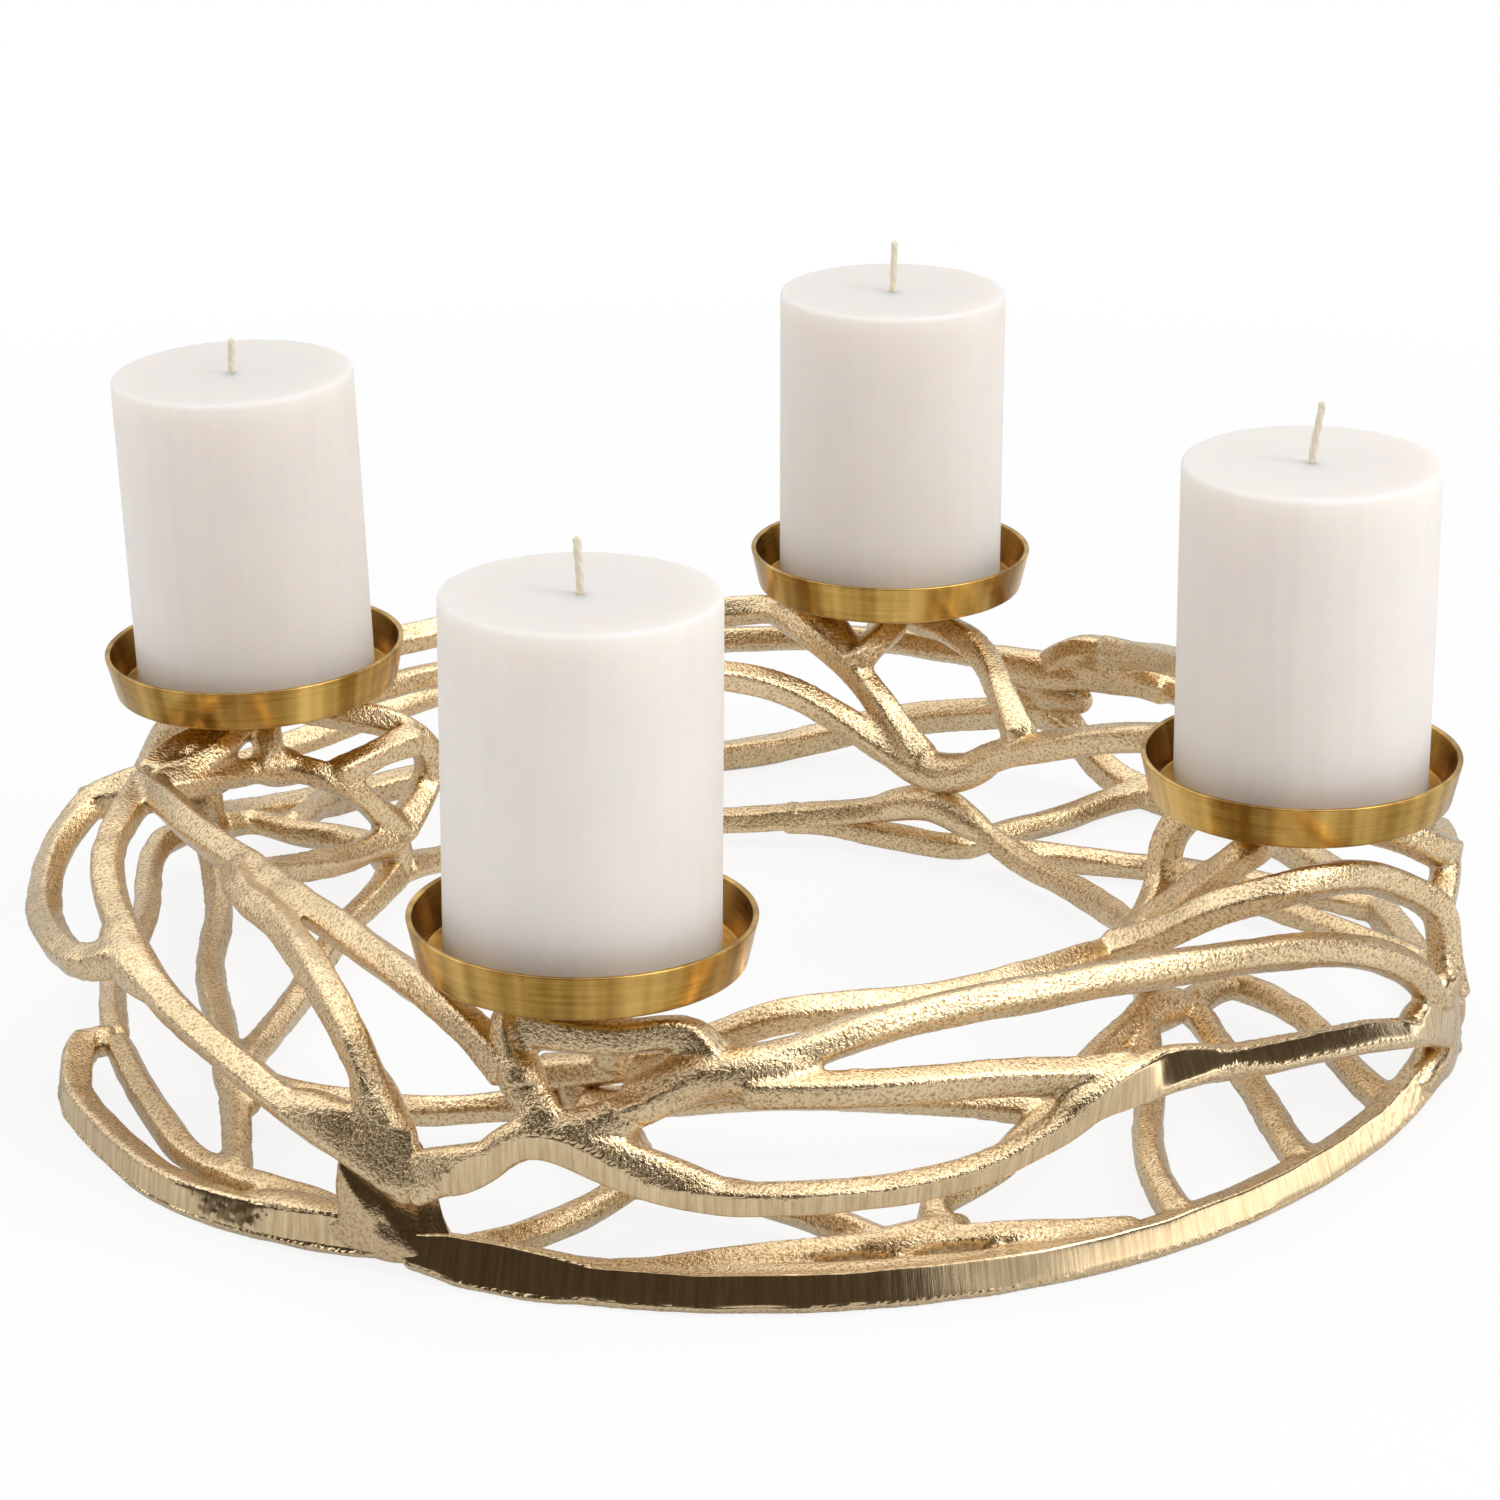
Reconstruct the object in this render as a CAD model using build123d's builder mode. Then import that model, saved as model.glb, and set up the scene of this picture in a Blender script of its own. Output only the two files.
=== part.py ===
"""Advent candle holder: two welded rings of cast lattice, four dishes on prickets, four lift-off candles.

Millimetres and degrees. The origin is the middle of the ring on the table, +Z up, +Y away from the viewer.
"""

import os

from build123d import *

os.makedirs("parts", exist_ok=True)

# Stations: azimuth, lean outwards and lean sideways of each dish and candle
station_radius = 156.4
stations = {
    "front": (254.5, -1.2, 0.1),
    "right": (346.5, -0.6, -0.6),
    "back": (73.4, -0.2, 0.0),
    "left": (159.2, 1.7, 1.4),
}
seat_height = 75.8

# Cast bars, eight-sided, measured across flats
bar_width = 9.6
slim_width = 8.6
rim_width = 10.4
bar_sides = 8
facet_length = 18.0
least_turn = 2.0

# Bosses that the dishes stand on
boss_width = 24.0
boss_depth = 8.4
boss_sides = 12
bolt_hole = 5.6
nut_pocket_width = 13.0
nut_pocket_depth = 16.0

# Weld beads between the two rings
weld_sides = 8
outer_weld_width = 17.0
inner_weld_width = 12.0

# Dishes
dish_base_diameter = 83.0
dish_rim_diameter = 88.4
dish_height = 12.2
dish_sheet = 1.6
dish_floor_diameter = 74.0
dish_groove = 0.6

# Prickets and nuts
shank_diameter = 4.8
collar_diameter = 12.0
collar_height = 1.4
spike_diameter = 6.0
spike_height = 24.0
spike_tip_diameter = 0.8
nut_width = 8.0
nut_sides = 6
nut_height = 4.0
nut_clearance = 0.1
shank_stick_out = 1.5

# Candles and wicks
candle_diameter = 70.0
candle_height = 94.0
candle_bevel = 1.6
socket_clearance = 0.4
wick_diameter = 2.2
wick_depth = 8.0
wick_clearance = 0.2
wick_tips = {
    "front": (-0.8, 0.6, 14.0),
    "right": (2.0, -1.0, 17.0),
    "back": (0.4, 0.5, 15.5),
    "left": (0.4, -0.6, 10.0),
}


def ring_point(azimuth, out, height):
    """A point of the lattice: azimuth, distance outside the station circle, height above the table."""
    return Vector(station_radius + out, 0, height).rotate(Axis.Z, azimuth)


def station_plane(station, height):
    """The plane across a station's own axis, at a distance along it from the dish seat."""
    azimuth, lean_out, lean_side = stations[station]
    up = Vector(0, 0, 1).rotate(Axis.Y, lean_out).rotate(Axis.X, -lean_side).rotate(Axis.Z, azimuth)
    outwards = Vector(1, 0, 0).rotate(Axis.Z, azimuth)
    return Plane(origin=ring_point(azimuth, 0, seat_height), x_dir=outwards, z_dir=up).offset(height)


def add_bars(routes, width):
    """Sweeps an eight-sided bar along each route, in straight facets that meet at real corners only."""
    for route in routes:
        with BuildLine() as path:
            guide = Spline(*[ring_point(*point) for point in route], mode=Mode.PRIVATE)
            count = max(2, round(guide.length / facet_length))
            points = [guide @ (step / count) for step in range(count + 1)]
            corners = [points[0]]
            for here, after in zip(points[1:-1], points[2:]):
                if (here - corners[-1]).get_angle(after - here) > least_turn:
                    corners.append(here)
            Polyline(*corners, points[-1])
        spine = path.wire()
        with BuildSketch(Plane(origin=spine @ 0, x_dir=(0, 0, 1), z_dir=spine % 0)) as section:
            RegularPolygon(width / 2, bar_sides, major_radius=False, rotation=180 / bar_sides)
        sweep(section.sketch, path=spine, transition=Transition.RIGHT)


def add_boss(station):
    """The boss under a dish, with the bolt hole and room for the nut."""
    seat = station_plane(station, 0)
    with BuildSketch(seat) as boss:
        RegularPolygon(boss_width / 2, boss_sides, major_radius=False)
    extrude(boss.sketch, amount=-boss_depth)
    with BuildSketch(seat) as above:
        RegularPolygon(boss_width, boss_sides, major_radius=False)
    extrude(above.sketch, amount=boss_depth, mode=Mode.SUBTRACT)
    with BuildSketch(seat) as hole:
        RegularPolygon(bolt_hole / 2, boss_sides, major_radius=False)
    extrude(hole.sketch, amount=-boss_depth, mode=Mode.SUBTRACT)
    with BuildSketch(station_plane(station, -boss_depth)) as pocket:
        RegularPolygon(nut_pocket_width / 2, boss_sides, major_radius=False)
    extrude(pocket.sketch, amount=-nut_pocket_depth, mode=Mode.SUBTRACT)


def write(part, name):
    """Labels one finished piece and writes it."""
    part.label = name
    export_step(part, f"parts/{name}.step")


# Upper ring, front casting: routes are azimuth, distance outside the station circle, height
upper_front_bars = [
    # Outer edge from the front-left weld to the right weld
    [(244, 38, 23), (251, 38, 36), (255, 38, 43), (259, 38, 38), (264, 38, 32), (271, 38, 30), (280, 38, 31),
     (288, 38, 35), (294, 38, 43), (299, 38, 50), (304, 38, 50), (313, 39, 45), (324, 40, 37), (333, 42, 28),
     (341, 44, 21)],
    # Long bar over the crown
    [(267, 25, 60), (272, 24, 61), (277, 20, 64), (283, 15, 66), (290, 13, 67), (299, 13, 67), (308, 16, 66),
     (317, 21, 63), (325, 27, 59), (333, 36.5, 49), (337.5, 42, 39), (340, 44.5, 30), (341.5, 44, 22)],
    # Blunt bar that joins the outer edge
    [(269, 29, 55), (281, 30, 55), (289, 30, 54), (296, 33, 52), (300, 37, 51)],
    # Rib from the inner edge over the crown to the right weld
    [(328, -41, 38), (328, -28, 45), (328, -12, 56), (331, 6, 64), (337, 20, 64), (343, 31, 55),
     (345, 40, 46),
     (345, 42, 35), (343, 45, 22)],
    # Inner edge
    [(240, -42, 19), (250, -42, 25), (261, -42, 32), (271, -42, 41), (285, -42, 44), (298, -42, 43),
     (313, -42, 42), (328, -41, 38), (346, -42, 30)],
    # Legs of the front dish
    [(253.5, 8, 69), (251, 25, 67), (252, 29, 58), (254, 34, 50), (255, 38, 45)],
    [(251.5, 24, 66.5), (256, 25, 66), (261, 24.5, 66.5), (265, 22, 66), (267.5, 25, 60)],
    [(254.5, -8, 69), (254, -26, 60), (253, -36, 44), (252, -41.5, 27)],
    # Tie from the legs back to the outer edge
    [(268, 26, 59), (263, 31, 53), (259, 34, 47), (256, 37, 44)],
]
with BuildPart() as upper_front:
    add_bars(upper_front_bars, bar_width)
    add_boss("front")

# Upper ring, left casting
upper_left_bars = [
    # Outer edge up to the left crest
    [(243.5, 38, 25), (237, 38, 33), (228, 36, 41), (222, 35, 45), (214, 33, 49), (208, 31, 53),
     (201, 29, 56),
     (194, 26, 60), (188, 21, 63), (180, 16, 63)],
    # Loop outside the left crest
    [(177, 17, 61), (176, 33, 54), (180, 40, 48), (187, 43, 44), (193, 44, 43), (201, 44, 45),
     (206.5, 41, 47),
     (209.5, 34, 51)],
    # Long bar from the crest to the front dish
    [(180, 16, 63), (188, 8, 67), (197, 2, 68), (209, -4, 68), (218, -3, 69), (226, 0, 69), (234, 6, 68),
     (242, 15, 66), (248, 24, 62), (252, 29, 55)],
    # Lapped bar down to the front-left weld
    [(208, -1, 68), (214, 5, 68), (221, 8, 68), (227, 14, 67), (234.5, 25, 62.5), (237.6, 29.8, 57),
     (240.3, 33.8, 47.5), (242.1, 36, 38), (243.4, 37.5, 28)],
    # Legs of the left dish
    [(162, 0, 69), (168, 1, 68), (173, 11, 66), (178, 16, 62)],
    [(159.5, 8, 69), (160, 26, 60), (159, 38, 38)],
    [(157.5, -7, 69), (156, -23, 66), (153, -35, 63), (150, -43, 56), (147, -41, 43), (152, -42, 36),
     (158, -42, 31)],
    # Outer edge to the left weld
    [(176, 33, 54), (168, 38, 45), (160, 39, 36), (151, 40, 27)],
]
upper_left_slim_bars = [
    # Arch under the left dish and its ties
    [(180, 15, 62), (176.5, 2.5, 61.5), (171, -5, 58.5), (167, -11.5, 57), (166, -28, 55), (163, -38, 46),
     (157, -42, 32)],
    [(162.3, -3, 69.5), (168, -4, 69), (174, 1, 65.5), (178, 11, 62)],
    [(161.5, -4, 70), (165, -9, 69.5), (166.7, -11.3, 65), (166.8, -11.5, 57)],
    [(165.8, -30, 54.5), (161, -39, 58.5), (152, -44, 59)],
    # Inner edge
    [(158, -42, 31), (171, -37, 34), (181, -30, 40), (193, -16, 50), (204, -4, 64)],
]
with BuildPart() as upper_left:
    add_bars(upper_left_bars, bar_width)
    add_bars(upper_left_slim_bars, slim_width)
    add_boss("left")
    add(upper_front.part, mode=Mode.SUBTRACT)

# Upper ring, back casting
upper_back_bars = [
    # Outer edge from the left weld to the back weld
    [(149, 40, 27), (140, 39, 28), (130, 38, 30), (118, 38, 34), (105, 38, 38), (93, 38, 41), (86, 38, 42),
     (78, 37, 43), (70, 37, 42), (64, 38, 40), (60, 38, 38.5)],
    # Crown bar that comes down to the inner edge
    [(154, 8, 69), (145, 8, 68), (132, 4, 67), (118, 0, 68), (105, -4, 67), (93, -7, 66), (87, -11, 68),
     (82, -25, 66), (75, -34, 58), (69, -39, 48), (61, -43, 33)],
    # Inner edge
    [(147, -41, 44), (135, -42, 52), (120, -42, 57), (105, -43, 58), (94, -43, 57), (85, -43, 53),
     (77, -43, 46),
     (69, -43, 37), (60, -43, 31)],
    # Legs of the back dish and a rib
    [(73, -8, 69), (71, -20, 68), (73, -31, 63), (75, -35, 58)],
    [(73.5, 8, 69), (75, 26, 60), (77, 37, 45)],
    [(118, 0, 68), (116, 22, 62), (113, 38, 38)],
]
upper_back_slim_bars = [
    [(154, -18, 66), (140, -24, 66), (128, -30, 64), (115, -38, 61), (105, -42, 58)],
]
with BuildPart() as upper_back:
    add_bars(upper_back_bars, bar_width)
    add_bars(upper_back_slim_bars, slim_width)
    add_boss("back")
    add(upper_left.part, mode=Mode.SUBTRACT)

# Upper ring, right casting
upper_right_bars = [
    # Inner edge up to the right dish
    [(60, -43, 31), (55, -43, 33), (49, -43, 40), (41, -43, 47), (32, -40, 54), (23, -29, 60), (10, -14, 66),
     (349, -5, 69)],
    # Leg of the back dish on this casting
    [(70.5, -7, 69), (64, -15, 68), (57, -23, 64), (50, -36, 59), (43, -42, 48)],
    # Outer edge and the crown bar beside it
    [(60, 38, 38.5), (58.3, 37.5, 46), (55.5, 38.5, 50), (52, 40, 47.5), (47, 39, 43), (36, 38, 41),
     (14, 39, 42),
     (2, 40, 48), (352, 41, 54), (348, 41, 50), (345.5, 40, 46)],
    [(54, 38, 49.5), (47, 29, 55.5), (41, 20, 60.5), (30, 12, 66), (15, 6, 68), (349.5, 3, 69)],
    # Straight bar below the arch at the back weld
    [(60, 38, 38.5), (55, 38, 40), (51, 38.5, 41.5), (46, 38.5, 43)],
    # Legs of the right dish
    [(347, 8, 69), (346, 26, 67), (348, 36, 61), (352, 41, 54)],
    [(347.5, -8, 69), (353, -26, 64), (355, -36, 52), (354, -38, 40), (347, -41, 31)],
    [(344.5, -6, 69), (337, -9, 66), (340, -23, 52), (345, -39, 33)],
]
with BuildPart() as upper_right:
    add_bars(upper_right_bars, bar_width)
    add_boss("right")
    add(upper_front.part, mode=Mode.SUBTRACT)
    add(upper_back.part, mode=Mode.SUBTRACT)

# Lower ring, front casting, cut flat on the table
lower_front_rim = [
    [(243.5, 38, 7), (248, 38, 5), (256, 38, 4.6), (270, 38, 4.6), (285, 38, 4.6), (300, 38, 4.6),
     (318, 38, 4.6),
     (331, 40, 5), (338, 42, 7), (343, 44, 9)],
]
lower_front_bars = [
    # Chord inside the rim and its forks
    [(259, 36, 5), (269, 27, 7), (278, 22, 7), (285, 22, 7), (293, 27, 7), (301, 36, 5)],
    [(281, 22, 7), (276, 7, 9), (269, -4, 10), (258.5, -10, 10)],
    [(286, 22, 7), (287, 7, 9), (292, -1, 10), (301, -16, 11), (308, -23, 13), (324, -35, 15), (335, -35, 17),
     (346, -41, 19)],
    # Bar from the rim to the inner edge, and the inner edge
    [(248, 36, 6), (251, 24, 7), (254, 12, 8), (257, -2, 9), (258, -11, 10), (255, -31, 12), (247, -42, 14)],
    [(247, -42, 14), (258, -41, 18), (270, -40, 21), (285, -38, 20), (298, -33, 16), (306, -23, 13)],
    # Spokes at the right
    [(333, -35, 16), (323, -20, 9), (314, -4, 8), (308, 15, 7), (305, 36, 5)],
    [(336, -35, 17), (341, -26, 13), (336, -15, 10), (329, 3, 8), (323, 20, 7), (319, 37, 5)],
    [(341, -26, 13), (350, -16, 12), (346, 2, 10), (340, 16, 8), (335, 30, 6), (333, 40, 5)],
]
with BuildPart() as lower_front:
    add_bars(lower_front_rim, rim_width)
    add_bars(lower_front_bars, slim_width)
    split(bisect_by=Plane.XY, keep=Keep.TOP)
    add(upper_front.part, mode=Mode.SUBTRACT)
    add(upper_right.part, mode=Mode.SUBTRACT)

# Lower ring, left casting
lower_left_rim = [
    [(243.5, 38, 8), (237, 40, 6), (231, 43, 5), (225, 46, 4.6), (219, 47, 4.6), (211, 46, 5), (206, 46, 6),
     (201, 42, 8), (198, 36, 10), (198, 28, 10)],
]
lower_left_bars = [
    # Second bar inside the rim
    [(198, 28, 10), (206, 29, 9), (214, 32, 8), (221, 35, 7), (228, 33, 7), (234, 31, 7), (241, 37, 8)],
    # Bars from the left weld
    [(150, 40, 13), (154, 43, 13), (163, 34, 11), (172, 25, 10), (184, 26, 10), (198, 28, 10)],
    [(151, 36, 13), (157, 22, 11), (168, 5, 10), (180, 0, 10), (194, -2, 10), (204, 1, 10), (210, 5, 10)],
    # Inner edge and the floor bars that fork from it
    [(158, -42, 20), (168, -42, 18), (177, -37, 16), (190, -29, 13), (200, -16, 11), (209, 3, 10)],
    [(209, 4, 10), (213, 9, 9), (222, 25, 8), (226, 36, 7)],
    [(210, 4, 10), (217, -3, 10), (223, -15, 9), (230, -23, 10), (236, -34, 11), (245, -41.5, 13)],
]
with BuildPart() as lower_left:
    add_bars(lower_left_rim, rim_width)
    add_bars(lower_left_bars, slim_width)
    split(bisect_by=Plane.XY, keep=Keep.TOP)
    add(lower_front.part, mode=Mode.SUBTRACT)
    add(upper_front.part, mode=Mode.SUBTRACT)
    add(upper_left.part, mode=Mode.SUBTRACT)

# Lower ring, back casting
lower_back_rim = [
    [(150, 40, 13), (143, 40, 9), (135, 39, 5), (120, 36, 4.6), (105, 28, 4.6), (93, 24, 5), (85, 34, 6),
     (79, 38, 11), (72, 38, 17), (65, 38, 22), (60, 38, 26)],
]
lower_back_bars = [
    # Inner edge
    [(157, -42, 20), (146, -42, 15), (130, -42, 10), (112, -42, 8), (94, -42, 8), (82, -42, 10),
     (71, -42, 14),
     (60, -42, 20)],
    # Bars from the left weld and a spoke
    [(150, 36, 13), (146, 34, 11), (145, 20, 10), (143, -3, 10), (148, -25, 13), (156, -41, 19)],
    [(145, 20, 10), (138, 29, 9), (133, 38, 5)],
    [(112, -41, 8), (110, -20, 8), (103, 5, 7), (97, 24, 5)],
]
with BuildPart() as lower_back:
    add_bars(lower_back_rim, rim_width)
    add_bars(lower_back_bars, slim_width)
    split(bisect_by=Plane.XY, keep=Keep.TOP)
    add(lower_left.part, mode=Mode.SUBTRACT)
    add(upper_left.part, mode=Mode.SUBTRACT)
    add(upper_back.part, mode=Mode.SUBTRACT)

# Lower ring, right casting
lower_right_rim = [
    [(60, 38, 26), (56, 38, 17), (53, 38, 9), (49, 39, 4.6), (40, 40, 4.6), (30, 40, 4.6), (18, 40, 4.6),
     (8, 40, 4.6), (356, 42, 5), (349, 44, 7), (344, 44, 9)],
]
lower_right_bars = [
    # Inner edge
    [(60, -42, 20), (52, -42, 15), (45, -42, 10), (34, -42, 8), (20, -42, 9), (5, -42, 13), (354, -42, 17),
     (347, -41, 19)],
    # Bars from the inner edge to the rim
    [(85, -42, 9.5), (78, -41, 8), (72, -40, 6), (66, -39, 5), (58, -38, 5), (54, -19, 5), (51, 4, 5),
     (50, 26, 5), (49, 38, 5)],
    [(46, -40, 9), (44, -30, 7), (39, -20, 6), (33, -8, 6), (25, 9, 6), (18, 27, 6), (15, 39, 5)],
    [(30, -3, 6), (16, 8, 7), (9, 21, 7), (4, 34, 6), (2, 40, 5)],
]
with BuildPart() as lower_right:
    add_bars(lower_right_rim, rim_width)
    add_bars(lower_right_bars, slim_width)
    split(bisect_by=Plane.XY, keep=Keep.TOP)
    add(lower_front.part, mode=Mode.SUBTRACT)
    add(lower_back.part, mode=Mode.SUBTRACT)
    add(upper_front.part, mode=Mode.SUBTRACT)
    add(upper_back.part, mode=Mode.SUBTRACT)
    add(upper_right.part, mode=Mode.SUBTRACT)

castings = {
    "upper_lattice_front": upper_front,
    "upper_lattice_left": upper_left,
    "upper_lattice_back": upper_back,
    "upper_lattice_right": upper_right,
    "lower_lattice_front": lower_front,
    "lower_lattice_left": lower_left,
    "lower_lattice_back": lower_back,
    "lower_lattice_right": lower_right,
}
for name, casting in castings.items():
    write(casting.part, name)

# Weld beads: azimuth, distance outside the station circle, bottom, top and width
welds = {
    "weld_outer_front": (243.7, 38, 7, 24, outer_weld_width),
    "weld_outer_right": (342.5, 44, 8, 23, outer_weld_width),
    "weld_outer_back": (60, 38, 25, 39, outer_weld_width),
    "weld_outer_left": (150.5, 40, 12, 27, outer_weld_width),
    "weld_inner_front": (246, -42, 13, 23, inner_weld_width),
    "weld_inner_right": (346.5, -41.5, 18, 31, inner_weld_width),
    "weld_inner_back": (60, -42.5, 19, 32, inner_weld_width),
    "weld_inner_left": (157.5, -42, 19, 32, inner_weld_width),
}
for name, (azimuth, out, bottom, top, width) in welds.items():
    with BuildPart() as weld:
        with BuildSketch(Plane(origin=ring_point(azimuth, out, bottom)).rotated((0, 0, azimuth))):
            RegularPolygon(width / 2, weld_sides, major_radius=False)
        extrude(amount=top - bottom)
        for casting in castings.values():
            add(casting.part, mode=Mode.SUBTRACT)
    write(weld.part, name)

# Dishes, prickets, nuts, candles and wicks at each station
for station in stations:
    seat = station_plane(station, 0)
    with BuildPart() as dish:
        with BuildSketch(Plane(seat.origin, x_dir=seat.x_dir, z_dir=-seat.y_dir)):
            with BuildLine():
                Polyline(
                    (bolt_hole / 2, 0),
                    (dish_base_diameter / 2, 0),
                    (dish_rim_diameter / 2, dish_height),
                    (dish_rim_diameter / 2 - dish_sheet, dish_height),
                    (dish_base_diameter / 2 - dish_sheet, dish_sheet - dish_groove),
                    (dish_floor_diameter / 2, dish_sheet - dish_groove),
                    (dish_floor_diameter / 2, dish_sheet),
                    (bolt_hole / 2, dish_sheet),
                    close=True,
                )
            make_face()
        revolve(axis=Axis(seat.origin, seat.z_dir))
    write(dish.part, f"dish_{station}")

    shank_end = -boss_depth - nut_height - shank_stick_out
    with BuildPart() as pricket:
        with BuildSketch(Plane(seat.origin, x_dir=seat.x_dir, z_dir=-seat.y_dir)):
            with BuildLine():
                Polyline(
                    (0, shank_end),
                    (shank_diameter / 2, shank_end),
                    (shank_diameter / 2, dish_sheet),
                    (collar_diameter / 2, dish_sheet),
                    (collar_diameter / 2, dish_sheet + collar_height),
                    (spike_diameter / 2, dish_sheet + collar_height),
                    (spike_tip_diameter / 2, dish_sheet + spike_height),
                    (0, dish_sheet + spike_height),
                    close=True,
                )
            make_face()
        revolve(axis=Axis(seat.origin, seat.z_dir))
    write(pricket.part, f"pricket_{station}")

    with BuildPart() as nut:
        with BuildSketch(station_plane(station, -boss_depth)):
            RegularPolygon(nut_width / 2, nut_sides, major_radius=False)
            Circle(shank_diameter / 2 + nut_clearance, mode=Mode.SUBTRACT)
        extrude(amount=-nut_height)
    write(nut.part, f"nut_{station}")

    candle_top = dish_sheet + candle_height
    socket_radius = spike_diameter / 2 + socket_clearance
    with BuildPart() as candle:
        with BuildSketch(Plane(seat.origin, x_dir=seat.x_dir, z_dir=-seat.y_dir)):
            with BuildLine():
                Polyline(
                    (collar_diameter / 2 + socket_clearance, dish_sheet),
                    (candle_diameter / 2, dish_sheet),
                    (candle_diameter / 2, candle_top - candle_bevel),
                    (candle_diameter / 2 - candle_bevel, candle_top),
                    (wick_diameter / 2 + wick_clearance, candle_top),
                    (wick_diameter / 2 + wick_clearance, candle_top - wick_depth),
                    (0, candle_top - wick_depth),
                    (0, dish_sheet + spike_height + socket_clearance),
                    (spike_tip_diameter / 2 + socket_clearance, dish_sheet + spike_height + socket_clearance),
                    (socket_radius, dish_sheet + collar_height + socket_clearance),
                    (collar_diameter / 2 + socket_clearance, dish_sheet + collar_height + socket_clearance),
                    close=True,
                )
            make_face()
        revolve(axis=Axis(seat.origin, seat.z_dir))
    write(candle.part, f"candle_{station}")

    tip_right, tip_away, tip_rise = wick_tips[station]
    with BuildPart() as wick:
        foot = station_plane(station, candle_top - wick_depth)
        mouth = station_plane(station, candle_top)
        with BuildLine():
            Polyline(
                foot.origin,
                mouth.origin,
                mouth.origin + Vector(tip_right, tip_away, tip_rise),
            )
        with BuildSketch(foot):
            Circle(wick_diameter / 2)
        sweep(transition=Transition.RIGHT)
    write(wick.part, f"wick_{station}")
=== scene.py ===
# %% [markdown]
# # An advent candle holder, dressed
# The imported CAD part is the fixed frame: a ring of cast lattice, four brass dishes and four pillar candles.
# This lesson lays finished surfaces over that frame, one kind of piece at a time, in metres and in the CAD's own axes.

# %% Load the frame
import math

import bpy
import numpy as np
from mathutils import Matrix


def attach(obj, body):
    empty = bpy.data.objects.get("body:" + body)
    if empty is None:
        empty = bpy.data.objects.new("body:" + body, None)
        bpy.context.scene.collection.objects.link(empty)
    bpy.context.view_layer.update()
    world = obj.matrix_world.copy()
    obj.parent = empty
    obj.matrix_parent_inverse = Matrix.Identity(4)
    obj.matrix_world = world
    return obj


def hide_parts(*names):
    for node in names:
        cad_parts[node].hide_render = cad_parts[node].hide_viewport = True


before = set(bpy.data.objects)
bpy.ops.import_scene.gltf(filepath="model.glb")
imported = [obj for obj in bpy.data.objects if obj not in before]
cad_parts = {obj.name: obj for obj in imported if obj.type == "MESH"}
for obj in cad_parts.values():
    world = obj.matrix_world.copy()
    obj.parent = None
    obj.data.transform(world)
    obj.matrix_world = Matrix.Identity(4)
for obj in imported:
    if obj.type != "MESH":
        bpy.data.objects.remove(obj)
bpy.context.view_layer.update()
MM = 0.001
scene = bpy.context.scene

# %% [markdown]
# ## The camera
# The photograph was taken with a longish lens from a little above the candles. Where the dish rims, the candle tops and
# the ring's outer edge fall in the picture gives the lens, the place and the pitch, so they are set here as numbers.

# %% Camera
CAMERA_PLACE = (-0.0003, -1.1007, 0.4862)
CAMERA_PITCH = 20.247
camera_data = bpy.data.cameras.new("camera")
camera_data.sensor_width = 36.0
camera_data.lens = 99.02
camera_data.shift_x, camera_data.shift_y = 0.001, -0.0121
camera_data.dof.use_dof = False
camera = bpy.data.objects.new("camera", camera_data)
camera.location = CAMERA_PLACE
camera.rotation_euler = (math.radians(90 - CAMERA_PITCH), 0, 0)
scene.collection.objects.link(camera)
scene.camera = camera
scene.view_settings.view_transform = "Standard"
print("camera at", tuple(round(v, 4) for v in camera.location))

# %% [markdown]
# ## Shader arithmetic
# A finish is easier to read as a formula than as a picture of boxes and wires. One small class holds a socket, and
# arithmetic on it adds Math nodes. Every other node comes from its one `add` method.


# %% A socket that can be added and multiplied
class Wire:
    """A node socket. Operators add Math nodes, and add() adds any other node."""

    def __init__(self, tree, socket=None):
        self.tree, self.socket = tree, socket

    def add(self, kind, settings=None, sockets=None, out=0):
        """Adds a node of this kind, sets its settings first and then its sockets, and gives one output."""
        node = self.tree.nodes.new(kind)
        for name, value in (settings or {}).items():
            setattr(node, name, value)
        for key, value in (sockets or {}).items():
            if isinstance(value, Wire):
                self.tree.links.new(value.socket, node.inputs[key])
            else:
                node.inputs[key].default_value = value
        return Wire(self.tree, node.outputs[out])

    def maths(self, operation, first, second):
        """A Math node of two values, each a Wire or a number."""
        return self.add("ShaderNodeMath", {"operation": operation}, {0: first, 1: second})

    def __add__(self, other):
        return self.maths("ADD", self, other)

    def __mul__(self, other):
        return self.maths("MULTIPLY", self, other)

    def __sub__(self, other):
        return self.maths("SUBTRACT", self, other)

    def __rsub__(self, other):
        return self.maths("SUBTRACT", other, self)

    __radd__ = __add__
    __rmul__ = __mul__


def new_finish(name):
    """An empty material with a Principled shader: gives the material, its shader node and a Wire to build on."""
    finish = bpy.data.materials.new(name)
    finish.use_nodes = True
    return finish, finish.node_tree.nodes["Principled BSDF"], Wire(finish.node_tree)


def object_place(wire):
    """Where a point is, in metres along the object's own axes."""
    return wire.add("ShaderNodeTexCoord", out=3)


def axis(wire, vector, number):
    """One part of a vector: x, y or z for the number 0, 1 or 2."""
    return wire.add("ShaderNodeSeparateXYZ", {}, {0: vector}, out=number)


def drawn_out(wire, place, scale):
    """A place multiplied along each axis. A small factor draws noise out into lines along that axis."""
    return wire.add("ShaderNodeMapping", {}, {"Vector": place, "Scale": scale})


def noise(wire, place, cells, detail=3.0, roughness=0.6):
    """Blender's noise from 0 to 1 at so many cells a metre."""
    sockets = {"Vector": place, "Scale": cells, "Detail": detail, "Roughness": roughness}
    return wire.add("ShaderNodeTexNoise", {}, sockets)


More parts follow.
